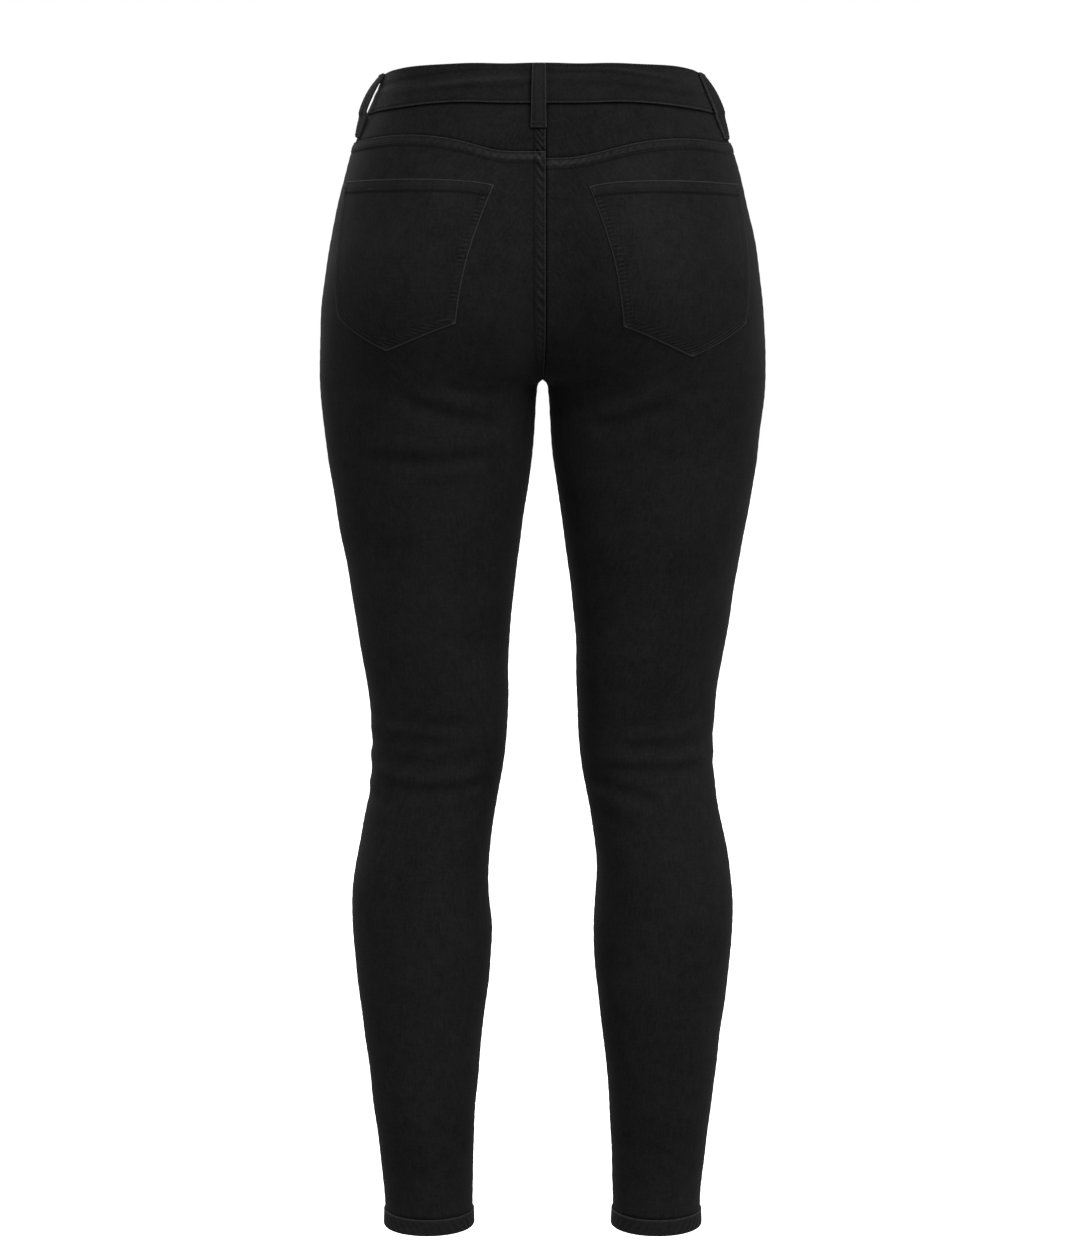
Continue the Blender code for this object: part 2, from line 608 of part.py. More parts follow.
def waistband():
    """One band from the over end, round the back, to the under end, which lap at the centre front."""
    front = np.linspace(BAND_OVER_GIRTHS[-1], 1, 10)[1:]
    half_way = np.concatenate([front, np.linspace(1, 2, PANEL_COLUMNS + 1)[1:]])
    around = np.concatenate([
        BAND_OVER_GIRTHS, half_way, 4 - half_way[::-1][1:], BAND_UNDER_GIRTHS,
    ])
    lift = BAND_LIFT * ramp(around, BAND_LIFT_ENDS, BAND_OVER_GIRTHS[-1])
    girth = np.broadcast_to(around, (len(BAND_RINGS), len(around)))
    outer, inner = (
        cloth_all_round(BAND_RINGS, girth, lift + depth) for depth in (BAND_PROUD, BAND_INSIDE)
    )
    return solid_from_layers("waistband", outer, inner, BLACK_DENIM)


def cloth_all_round(height, girth, depth):
    """The unfolded outer face moved out by a depth, over both halves of the garment."""
    points, normals = plain_cloth(np.asarray(height, float), np.asarray(girth, float))
    return points + normals * np.broadcast_to(depth, girth.shape)[..., None]


def belt_loop(row):
    """A folded strip that stands away from the band between its two sewn ends."""
    loop = dict(zip(LOOP_COLUMNS, row))
    up, share_of_bow = (np.array(values) for values in zip(*LOOP_RINGS))
    height = loop["bottom"] + (BAND_TOP - loop["bottom"]) * up
    centre = np.full((len(height), 1), loop["girth"])
    probe = plain_points(height, np.hstack([centre - GIRTH_PROBE, centre]))
    millimetres = np.linalg.norm(probe[:, 1] - probe[:, 0], axis=1)
    half = LOOP_WIDTH / 2 * GIRTH_PROBE / millimetres
    girth = centre + half[:, None] * np.array([-1.0, 0.0, 1.0])
    stand = LAID_ON_GAP + BAND_PROUD * ramp(height, YOKE_RINGS[1], WAIST_SEAM)
    stand = (stand + share_of_bow * loop["bow"])[:, None]
    mirror = np.array([loop["side"], 1.0, 1.0])
    outer, inner = (
        cloth_all_round(height, girth, stand + depth) * mirror for depth in (LOOP_THICKNESS, 0.0)
    )
    return solid_from_layers(loop["name"], outer, inner, BLACK_DENIM)


def hem(side, label):
    """The folded hem, a ring a little thicker than the leg above it."""
    height, proud = (np.array(values) for values in zip(*HEM_RINGS))
    girth = np.linspace(0, 2, 2 * PANEL_COLUMNS, endpoint=False)
    return solid_from_layers(
        f"hem_{label}",
        cloth(height, girth, proud[:, None], side),
        cloth(height, girth, HEM_INSIDE, side),
        BLACK_DENIM,
        closed=True,
    )


def fly_shield():
    """The guard behind the zip, inside the front panels."""
    girth = between(np.full(len(SHIELD_RINGS), SHIELD_GIRTHS[0]), SHIELD_GIRTHS[1], SHIELD_COLUMNS)
    top = -CLOTH - SHIELD_GAP
    outer, inner = (cloth_all_round(SHIELD_RINGS, girth, depth) for depth in (top, top - CLOTH))
    return solid_from_layers("fly_shield", outer, inner, BLACK_DENIM)


def button():
    """A domed shank button, turned about the line that points out of the waistband."""
    points, normals = plain_cloth(np.array([BUTTON_HEIGHT]), np.array([[0.0]]))
    outwards = normals[0, 0] * np.array([0.0, 1.0, 1.0])
    outwards /= np.linalg.norm(outwards)
    seat = points[0, 0] * np.array([0.0, 1.0, 1.0])
    seat = seat + outwards * (BAND_PROUD + BAND_LIFT + LAID_UNDER_GAP)
    across = np.array([1.0, 0.0, 0.0])
    up = np.cross(across, outwards)
    turn = np.linspace(0, 2 * math.pi, BUTTON_SEGMENTS, endpoint=False)
    circle = np.cos(turn)[:, None] * across + np.sin(turn)[:, None] * up
    shape = [seat]
    for radius, stand in BUTTON_PROFILE:
        shape.extend(seat + outwards * stand + circle * radius)
    shape.append(seat + outwards * BUTTON_CROWN)
    top = len(shape) - 1
    faces = []
    for c in range(BUTTON_SEGMENTS):
        d = (c + 1) % BUTTON_SEGMENTS
        faces.append((0, 1 + d, 1 + c))
        for r in range(len(BUTTON_PROFILE) - 1):
            a, b = 1 + r * BUTTON_SEGMENTS, 1 + (r + 1) * BUTTON_SEGMENTS
            faces.append((a + c, a + d, b + d, b + c))
        faces.append((top - BUTTON_SEGMENTS + c, top - BUTTON_SEGMENTS + d, top))
    return solid_from_faces("waist_button", shape, faces, DARK_METAL)


def build():
    clear_scene()
    for side, label in ((1, "left"), (-1, "right")):
        front_panel(side, label)
        back_panel(side, label)
        yoke(side, label)
        pocket_facing(side, label)
        hem(side, label)
    for row in POCKETS:
        back_pocket(row)
    waistband()
    for row in LOOPS:
        belt_loop(row)
    fly_shield()
    button()


build()
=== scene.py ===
# %% [markdown]
# # Black skinny jeans, sewn from numpy surfaces
# The CAD model holds the worn shape of the jeans, hollow and plain. In this lesson
# every cloth piece is made again as a finer shell on that same shape, with its
# folds, felled seams, puckers and stitches, and then it gets a twill finish.
# The frame is loaded first, because every piece takes its place from it.

# %% Load the frame
import math

import bpy
import numpy as np
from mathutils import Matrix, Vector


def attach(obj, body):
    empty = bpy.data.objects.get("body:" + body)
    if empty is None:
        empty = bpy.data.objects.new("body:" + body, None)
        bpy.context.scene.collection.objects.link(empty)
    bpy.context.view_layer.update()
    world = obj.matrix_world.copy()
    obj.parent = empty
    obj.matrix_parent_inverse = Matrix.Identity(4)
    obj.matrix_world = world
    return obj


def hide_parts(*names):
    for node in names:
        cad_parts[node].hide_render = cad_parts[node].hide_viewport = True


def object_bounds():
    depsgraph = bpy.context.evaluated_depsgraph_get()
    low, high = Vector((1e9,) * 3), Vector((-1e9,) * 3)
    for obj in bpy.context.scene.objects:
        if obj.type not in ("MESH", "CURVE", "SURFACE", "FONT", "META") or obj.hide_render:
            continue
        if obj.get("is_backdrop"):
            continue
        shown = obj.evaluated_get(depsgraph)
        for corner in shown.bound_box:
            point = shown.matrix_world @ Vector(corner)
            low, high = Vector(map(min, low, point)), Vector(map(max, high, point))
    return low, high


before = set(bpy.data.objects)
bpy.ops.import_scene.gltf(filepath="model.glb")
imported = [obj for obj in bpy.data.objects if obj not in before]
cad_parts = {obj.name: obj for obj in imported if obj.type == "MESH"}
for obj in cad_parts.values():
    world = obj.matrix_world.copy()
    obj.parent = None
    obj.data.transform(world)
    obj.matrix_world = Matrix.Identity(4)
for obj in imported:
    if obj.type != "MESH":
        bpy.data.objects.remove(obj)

CAD_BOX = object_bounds()
BODY = "root"
FULL_TURN = 2 * math.pi
print("nodes to dress:", len(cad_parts))

# %% [markdown]
# ## The worn shape as a table
# Tight jeans could be modelled by pushing a cylinder about by hand, or by
# simulating cloth on a figure. Here the shape is a stack of rings, because a
# tailor measures a garment in the same way: how far each leg reaches inwards,
# outwards, forwards and backwards at each height. A ring is named by the height
# at which it crosses the outseam. The CAD source has the same numbers.

# %% Rings of the legs and of the rise
HEM_TOP, CROTCH, YOKE_SEAM, WAIST_SEAM, BAND_TOP = -0.967, -0.239, -0.038, -0.016, 0.017
HEM_BOTTOM = -0.9815

LEG_COLUMNS = ("height", "x_in", "x_out", "y_front", "y_back")
LEG = np.array((
    (-0.9830, 0.0617, 0.1379, -0.0400, 0.0460),
    (-0.9670, 0.0617, 0.1379, -0.0400, 0.0460),
    (-0.9300, 0.0612, 0.1412, -0.0410, 0.0480),
    (-0.8700, 0.0584, 0.1479, -0.0430, 0.0530),
    (-0.8100, 0.0530, 0.1551, -0.0460, 0.0590),
    (-0.7500, 0.0459, 0.1621, -0.0500, 0.0650),
    (-0.7150, 0.0444, 0.1652, -0.0530, 0.0680),
    (-0.6900, 0.0462, 0.1653, -0.0555, 0.0675),
    (-0.6600, 0.0470, 0.1622, -0.0590, 0.0630),
    (-0.6300, 0.0440, 0.1568, -0.0635, 0.0560),
    (-0.6000, 0.0390, 0.1513, -0.0680, 0.0495),
    (-0.5780, 0.0347, 0.1488, -0.0710, 0.0460),
    (-0.5500, 0.0313, 0.1483, -0.0740, 0.0455),
    (-0.5200, 0.0303, 0.1504, -0.0770, 0.0480),
    (-0.4600, 0.0285, 0.1596, -0.0830, 0.0555),
    (-0.4000, 0.0224, 0.1691, -0.0880, 0.0645),
    (-0.3400, 0.0138, 0.1795, -0.0920, 0.0745),
    (-0.3000, 0.0088, 0.1853, -0.0950, 0.0815),
    (-0.2700, 0.0062, 0.1885, -0.0980, 0.0875),
    (-0.2520, 0.0052, 0.1902, -0.1000, 0.0925),
))

RISE_COLUMNS = (
    "height", "x_in", "x_side", "y_side", "y_cf", "z_cf", "x_front", "y_front", "z_front",
    "x_back", "y_back", "z_back", "slope", "y_cb", "z_cb", "turn",
)
RISE = np.array((
    (-0.2450, 0.0040, 0.1906, -0.0035, -0.0035, -0.2430, 0.0935, -0.1008, -0.2445,
     0.0950, 0.0950, -0.2440, 0.00, -0.0035, -0.2430, 0.00),
    (-0.2390, 0.0002, 0.1908, -0.0030, -0.0030, -0.2395, 0.0915, -0.1020, -0.2380,
     0.0950, 0.0985, -0.2370, 0.00, -0.0030, -0.2395, 0.00),
    (-0.2270, 0.0002, 0.1908, -0.0025, -0.0240, -0.2360, 0.0880, -0.1040, -0.2275,
     0.0940, 0.1050, -0.2255, 0.00, 0.0260, -0.2355, 0.15),
    (-0.2100, 0.0002, 0.1906, -0.0020, -0.0470, -0.2270, 0.0840, -0.1070, -0.2125,
     0.0920, 0.1150, -0.2080, 0.00, 0.0520, -0.2260, 0.35),
    (-0.1880, 0.0002, 0.1894, -0.0020, -0.0700, -0.2100, 0.0790, -0.1100, -0.1925,
     0.0880, 0.1260, -0.1840, 0.00, 0.0780, -0.2080, 0.60),
    (-0.1630, 0.0002, 0.1870, -0.0015, -0.0890, -0.1840, 0.0720, -0.1125, -0.1685,
     0.0830, 0.1330, -0.1580, 0.00, 0.0990, -0.1810, 0.85),
    (-0.1340, 0.0002, 0.1830, -0.0010, -0.1030, -0.1500, 0.0640, -0.1142, -0.1395,
     0.0780, 0.1325, -0.1280, 0.00, 0.1130, -0.1470, 1.00),
    (-0.1030, 0.0002, 0.1771, 0.0000, -0.1105, -0.1130, 0.0560, -0.1152, -0.1070,
     0.0710, 0.1240, -0.0970, 0.02, 0.1135, -0.1110, 1.00),
    (-0.0720, 0.0002, 0.1696, 0.0010, -0.1122, -0.0800, 0.0490, -0.1146, -0.0755,
     0.0630, 0.1120, -0.0670, 0.06, 0.1065, -0.0790, 1.00),
    (-0.0380, 0.0002, 0.1590, 0.0020, -0.1090, -0.0480, 0.0430, -0.1112, -0.0450,
     0.0560, 0.1010, -0.0415, 0.23, 0.0970, -0.0480, 1.00),
    (-0.0160, 0.0002, 0.1492, 0.0010, -0.1055, -0.0290, 0.0400, -0.1072, -0.0265,
     0.0500, 0.0922, -0.0030, 0.04, 0.0910, -0.0046, 1.00),
    (0.0170, 0.0002, 0.1342, -0.0010, -0.0995, 0.0040, 0.0380, -0.1010, 0.0060,
     0.0460, 0.0833, 0.0262, 0.03, 0.0825, 0.0266, 1.00),
))
leg = dict(zip(LEG_COLUMNS, LEG.T))
rise = dict(zip(RISE_COLUMNS, RISE.T))
print("rings in the tables:", len(LEG) + len(RISE))

# %% [markdown]
# ## Five lines that guide every ring
# Each ring passes five points: the inner front edge, the front, the outseam, the
# back and the inner back edge. Joined from ring to ring, those points are five long
# lines down the garment. They have to be smooth, so each one is a cubic Hermite
# curve, with a corner only at the crotch, where an inseam turns into a rise.

# %% Guide lines
leg_x, leg_y, leg_z = (leg["x_in"] + leg["x_out"]) / 2, (leg["y_front"] + leg["y_back"]) / 2, leg["height"]
LEG_LINES = (
    (leg["x_in"], leg_y, leg_z), (leg_x, leg["y_front"], leg_z), (leg["x_out"], leg_y, leg_z),
    (leg_x, leg["y_back"], leg_z), (leg["x_in"], leg_y, leg_z),
)
RISE_LINES = (
    (rise["x_in"], rise["y_cf"], rise["z_cf"]), (rise["x_front"], rise["y_front"], rise["z_front"]),
    (rise["x_side"], rise["y_side"], rise["height"]), (rise["x_back"], rise["y_back"], rise["z_back"]),
    (rise["x_in"], rise["y_cb"], rise["z_cb"]),
)
HEIGHTS = np.concatenate([leg["height"], rise["height"]])
LINES = [np.concatenate([np.array(low).T, np.array(high).T]) for low, high in zip(LEG_LINES, RISE_LINES)]
TURN = np.concatenate([np.zeros(len(LEG)), rise["turn"]])
SLOPE = np.concatenate([np.zeros(len(LEG)), rise["slope"]])
CROTCH_RING = int(np.argmin(np.abs(HEIGHTS - CROTCH)))


def smooth(at, knots, values):
    """Cubic Hermite curve: between two knots the value follows 2t^3 - 3t^2 + 1 of the
    first, 3t^2 - 2t^3 of the second, and the two slopes of the table."""
    slopes = np.gradient(values, knots, axis=0)
    place = np.clip(np.searchsorted(knots, at) - 1, 0, len(knots) - 2)
    span = knots[place + 1] - knots[place]
    t = (at - knots[place]) / span
    extra = (1,) * (values.ndim - 1)
    t, span = t.reshape(-1, *extra), span.reshape(-1, *extra)
    return (
        values[place] * (2 * t**3 - 3 * t**2 + 1) + slopes[place] * span * (t**3 - 2 * t**2 + t)
        + values[place + 1] * (3 * t**2 - 2 * t**3) + slopes[place + 1] * span * (t**3 - t**2)
    )


def smooth_with_corner(height, values):
    """The same curve made of two, which meet at the crotch with a corner."""
    low = smooth(height, HEIGHTS[: CROTCH_RING + 1], values[: CROTCH_RING + 1])
    high = smooth(height, HEIGHTS[CROTCH_RING:], values[CROTCH_RING:])
    above = (height > HEIGHTS[CROTCH_RING]).reshape(-1, *(1,) * (values.ndim - 1))
    return np.where(above, high, low)


print("guide lines:", len(LINES), "from", HEIGHTS[0], "to", HEIGHTS[-1])

# %% [markdown]
# ## A ring from four Bezier arcs
# A plain ellipse would do for a sleeve, but a seat is fuller than an ellipse and its
# centre is drawn in by a seam. Four cubic Bezier quarters between the five points
# can be round at the side and square to the centre seam, so the handles are set
# ring by ring.

# %% Rings
ROUNDNESS, RISE_HANDLE, ARCH = 0.56, 0.40, 0.003
SAMPLES_A_QUARTER = 72


def bezier(start, handle_a, handle_b, end, t):
    """Cubic Bezier arc: the four points weighted by (1-t)^3, 3t(1-t)^2, 3t^2(1-t) and t^3."""
    t = t[None, :, None]
    start, handle_a, handle_b, end = (p[:, None, :] for p in (start, handle_a, handle_b, end))
    return (start * (1 - t) ** 3 + 3 * handle_a * t * (1 - t) ** 2
            + 3 * handle_b * t**2 * (1 - t) + end * t**3)


def rings(height):
    """Each ring as samples from the inner front edge to the inner back edge."""
    inner_front, inner_back = (smooth_with_corner(height, LINES[k]) for k in (0, 4))
    front, side, back = (smooth(height, HEIGHTS, LINES[k]) for k in (1, 2, 3))
    turn = np.clip(smooth_with_corner(height, TURN), 0, 1)
    slope = smooth(height, HEIGHTS, SLOPE)
    arch = ARCH * np.clip((height - LEG[-1][0]) / (CROTCH - LEG[-1][0]), 0, 1)

    def inner_handle(inner, extreme):
        reach, handle = extreme - inner, inner.copy()
        handle[:, 0] += arch + turn * RISE_HANDLE * reach[:, 0]
        handle[:, 1] += (1 - turn) * ROUNDNESS * reach[:, 1]
        return handle

    def along_x(point, towards, slope=0.0):
        handle, reach = point.copy(), ROUNDNESS * (towards[:, 0] - point[:, 0])
        handle[:, 0] += reach
        handle[:, 2] += reach * slope
        return handle

    def along_y(point, towards):
        handle = point.copy()
        handle[:, 1] += ROUNDNESS * (towards[:, 1] - point[:, 1])
        return handle

    t = np.linspace(0, 1, SAMPLES_A_QUARTER + 1)
    quarters = [
        bezier(inner_front, inner_handle(inner_front, front), along_x(front, inner_front), front, t),
        bezier(front, along_x(front, side), along_y(side, front), side, t),
        bezier(side, along_y(side, back), along_x(back, side, slope), back, t),
        bezier(back, along_x(back, inner_back, slope), inner_handle(inner_back, back), inner_back, t),
    ]
    return np.concatenate([quarters[0], *(quarter[:, 1:] for quarter in quarters[1:])], axis=1)


def read_rings(samples, girth):
    """Points at given girths. Girth is the share of the real length of the front half
    (0 to 1, inner front edge to outseam) and of the back half (1 to 2)."""
    middle = 2 * SAMPLES_A_QUARTER
    steps = np.linalg.norm(np.diff(samples, axis=1), axis=2)
    along = np.concatenate([np.zeros((len(steps), 1)), np.cumsum(steps, axis=1)], axis=1)
    half, whole = along[:, middle : middle + 1], along[:, -1:]
    share = np.where(along <= half, along / half, 1 + (along - half) / (whole - half))
    points = np.empty((*girth.shape, 3))
    for ring, line in enumerate(samples):
        for axis in range(3):
            points[ring, :, axis] = np.interp(girth[ring], share[ring], line[:, axis])
    return points


print("samples on a ring:", 4 * SAMPLES_A_QUARTER + 1)

# %% [markdown]
# ## The skin as a map
# Every piece needs points, outward directions and real distances on this surface,
# thousands of times over. Working each one out from the rings would be slow, so
# the surface is worked out once on a fine map, a millimetre between lines, and
# then read between its four nearest entries.

# %% Map of the skin
MAP_STEP, HEIGHT_PROBE, GIRTH_PROBE = 0.001, 0.0015, 0.01
MAP_HEIGHTS = np.unique(np.concatenate([
    np.arange(HEIGHTS[0], CROTCH, MAP_STEP), [CROTCH - 1e-6],
    np.arange(CROTCH, HEIGHTS[-1], MAP_STEP), [HEIGHTS[-1]],
]))
MAP_GIRTHS = np.linspace(0, 2, 401)


def own_girth(height, girth):
    """Girths brought to 0..2, and -1 where the point lies on the other half. A leg ring
    closes on itself, so it repeats every 2. A rise ring goes on round the other half, so
    it repeats every 4 and comes back from 2 to 4."""
    in_leg = np.asarray(height) < CROTCH
    around = girth % 4
    other = ~in_leg & (around > 2)
    own = np.where(in_leg & ((girth < 0) | (girth > 2)), girth % 2, np.where(other, 4 - around, around))
    return own, np.where(other, -1.0, 1.0)


def ring_points(height, girth):
    """Points at ring heights (rings,) and girths (rings, columns)."""
    own, sign = own_girth(height[:, None], girth)
    points = read_rings(rings(height), own)
    points[..., 0] *= sign
    return points


def map_the_skin():
    """Points, and unit normals: the cross product of a small step round and a small step up."""
    height = MAP_HEIGHTS
    girth = np.broadcast_to(MAP_GIRTHS, (len(height), len(MAP_GIRTHS)))
    in_rise = (height + HEIGHT_PROBE > CROTCH)[:, None]
    low = np.where(in_rise, np.maximum(girth - GIRTH_PROBE, 0), girth - GIRTH_PROBE)
    high = np.where(in_rise, np.minimum(girth + GIRTH_PROBE, 2), girth + GIRTH_PROBE)
    across = ring_points(height, high) - ring_points(height, low)
    up = (ring_points(np.minimum(height + HEIGHT_PROBE, HEIGHTS[-1]), girth)
          - ring_points(np.maximum(height - HEIGHT_PROBE, HEIGHTS[0]), girth))
    normals = np.cross(across, up)
    return ring_points(height, girth), normals / np.linalg.norm(normals, axis=2, keepdims=True)


SKIN, NORMALS = map_the_skin()


def running_length(points, axis):
    """Distance run so far along one direction of a grid, from 0."""
    step = np.linalg.norm(np.diff(points, axis=axis), axis=2)
    start = np.zeros_like(np.take(step, [0], axis=axis))
    return np.concatenate([start, np.cumsum(step, axis=axis)], axis=axis)


AROUND, UPWARDS = running_length(SKIN, 1), running_length(SKIN, 0)
FRONT_LENGTH = AROUND[:, len(MAP_GIRTHS) // 2]
BACK_LENGTH = AROUND[:, -1] - FRONT_LENGTH
print("map:", SKIN.shape, "hip round:", round(4 * float(FRONT_LENGTH.max()), 3), "m at most")

# %% [markdown]
# ## Reading the map
# The functions below answer the questions a maker asks: where is this point, which
# way is out, how far is it from the outseam, and how far up the leg. Later cells
# place seams and stitches by such distances, in metres.

# %% Read points and distances
def read_map(values, height, girth):
    """The four nearest entries of a map, each weighted by how near it lies."""
    height, girth = np.broadcast_arrays(height, girth)
    row = np.interp(height, MAP_HEIGHTS, np.arange(len(MAP_HEIGHTS)))
    column = np.clip(girth, 0, 2) * (len(MAP_GIRTHS) - 1) / 2
    r = np.minimum(row.astype(int), len(MAP_HEIGHTS) - 2)
    c = np.minimum(column.astype(int), len(MAP_GIRTHS) - 2)
    a, b = row - r, column - c
    if values.ndim == 3:
        a, b = a[..., None], b[..., None]
    low = values[r, c] * (1 - b) + values[r, c + 1] * b
    high = values[r + 1, c] * (1 - b) + values[r + 1, c + 1] * b
    return low * (1 - a) + high * a


def skin(height, girth):
    """Points and outward normals of the bare skin, for the wearer's left half."""
    own, sign = own_girth(height, girth)
    out = np.stack([sign, np.ones_like(sign), np.ones_like(sign)], axis=-1)
    return read_map(SKIN, height, own) * out, read_map(NORMALS, height, own) * out


def front_length(height):
    """Length of the front half of a ring."""
    return np.interp(height, MAP_HEIGHTS, FRONT_LENGTH)


def back_length(height):
    """Length of the back half of a ring."""
    return np.interp(height, MAP_HEIGHTS, BACK_LENGTH)


def run_up(height, girth):
    """Distance from the hem up the cloth."""
    return read_map(UPWARDS, height, own_girth(height, girth)[0])


def rate_up(height, girth):
    """How far the cloth runs for each metre of ring height."""
    probe = 0.004
    low, high = np.maximum(height - probe, HEIGHTS[0]), np.minimum(height + probe, HEIGHTS[-1])
    return (run_up(high, girth) - run_up(low, girth)) / (high - low)


def step(at, start, end):
    """0 before start and 1 after end, by 3t^2 - 2t^3 between them. The ends may be swapped."""
    t = np.clip((at - start) / (end - start), 0, 1)
    return t * t * (3 - 2 * t)


def waist_line(girth):
    """Height of the waistband's seam: level, a little up at the sides and down at the back."""
    own, _ = own_girth(0.0, girth)
    sides = step(own, 0.62, 1.05) * step(own, 1.60, 1.20)
    back = step(own, 1.15, 1.45)
    return WAIST_SEAM + 0.0010 * sides - 0.0012 * back + 0.0008 * step(own, 1.75, 1.98)


def yoke_line(girth, side=1):
    """Height of the yoke seam: arched a little, and set lower on the right half."""
    own, _ = own_girth(0.0, girth)
    if side > 0:
        moved = 0.0018 * step(own, 1.78, 1.94)
    else:
        moved = 0.0010 * step(own, 1.70, 1.95) - 0.0027 * step(own, 1.02, 1.25)
    return YOKE_SEAM + 0.0026 * np.sin(math.pi * np.clip(own - 1, 0, 1)) ** 2 + moved


def bent(height, girth, low=None, high=None, side=1):
    """Heights moved so that level rows follow the yoke seam (below it), both seams (between
    them) or the waistband's seam (above it, and below it in front)."""
    waist, yoke = waist_line(girth) - WAIST_SEAM, yoke_line(girth, side) - YOKE_SEAM
    if low == "yoke":
        share = np.clip((height - YOKE_SEAM) / (WAIST_SEAM - YOKE_SEAM), 0, 1)
        return height + yoke * (1 - share) + waist * share
    if low == "waist":
        return height + waist * (1 - np.clip((height - WAIST_SEAM) / (BAND_TOP - WAIST_SEAM), 0, 1))
    return height + (waist if high == "waist" else yoke) * step(height, YOKE_SEAM - 0.060, YOKE_SEAM - 0.012)


print("outseam from hem to waist seam:", round(float(run_up(WAIST_SEAM, 1.0) - run_up(HEM_TOP, 1.0)), 3), "m")

# %% [markdown]
# ## The folds
# Tight denim creases where the body bends: under the seat, behind the knee, and at
# the lap. A cloth simulation would put them where it likes, so they are listed one
# by one. Each fold is a soft bump or trough across a slightly hanging line, and no two
# are alike in length, depth or spacing. The first group is in the CAD as well. The
# second group holds the fine creases.

# %% Fold tables
FOLD_COLUMNS = ("leg", "face", "x_a", "z_a", "x_b", "z_b", "bow", "rise", "half_width")
FOLDS = (
    (1, 1, 0.030, -0.252, 0.080, -0.240, 0.003, -0.0022, 0.0075),
    (1, 1, 0.034, -0.274, 0.122, -0.252, 0.003, -0.0034, 0.0080),
    (1, 1, 0.040, -0.259, 0.110, -0.243, 0.002, 0.0020, 0.0080),
    (1, 1, 0.050, -0.301, 0.146, -0.302, 0.004, -0.0026, 0.0070),
    (1, 1, 0.040, -0.289, 0.146, -0.290, 0.002, 0.0018, 0.0075),
    (-1, 1, 0.012, -0.262, 0.076, -0.246, 0.004, -0.0028, 0.0080),
    (-1, 1, 0.044, -0.275, 0.110, -0.256, 0.003, -0.0028, 0.0080),
    (-1, 1, 0.040, -0.262, 0.104, -0.244, 0.002, 0.0018, 0.0080),
    (-1, 1, 0.080, -0.304, 0.136, -0.300, 0.002, -0.0014, 0.0080),
    (1, 1, 0.056, -0.534, 0.146, -0.528, 0.001, -0.0016, 0.0065),
    (1, 1, 0.080, -0.551, 0.146, -0.544, 0.001, -0.0022, 0.0070),
    (1, 1, 0.050, -0.568, 0.146, -0.565, 0.001, -0.0024, 0.0070),
    (1, 1, 0.050, -0.577, 0.146, -0.577, 0.004, 0.0022, 0.0065),
    (1, 1, 0.050, -0.584, 0.138, -0.587, 0.004, -0.0026, 0.0065),
    (-1, 1, 0.070, -0.533, 0.146, -0.526, 0.001, -0.0018, 0.0065),
    (-1, 1, 0.070, -0.554, 0.146, -0.553, 0.000, -0.0024, 0.0070),
    (-1, 1, 0.050, -0.564, 0.146, -0.563, 0.000, 0.0020, 0.0060),
    (-1, 1, 0.050, -0.573, 0.146, -0.572, 0.000, -0.0024, 0.0065),
    (-1, 1, 0.040, -0.582, 0.098, -0.598, 0.002, -0.0030, 0.0075),
    (-1, 1, 0.042, -0.608, 0.078, -0.622, 0.001, -0.0022, 0.0080),
    (1, -1, 0.026, -0.236, 0.104, -0.206, 0.003, -0.0018, 0.0080),
    (1, -1, 0.034, -0.262, 0.118, -0.243, 0.003, -0.0016, 0.0080),
    (-1, -1, 0.024, -0.239, 0.096, -0.212, 0.003, -0.0018, 0.0080),
    (-1, -1, 0.040, -0.258, 0.126, -0.236, 0.002, -0.0016, 0.0080),
    (1, -1, 0.054, -0.604, 0.130, -0.598, 0.003, -0.0016, 0.0070),
    (-1, -1, 0.060, -0.600, 0.134, -0.607, 0.003, -0.0016, 0.0070),
)
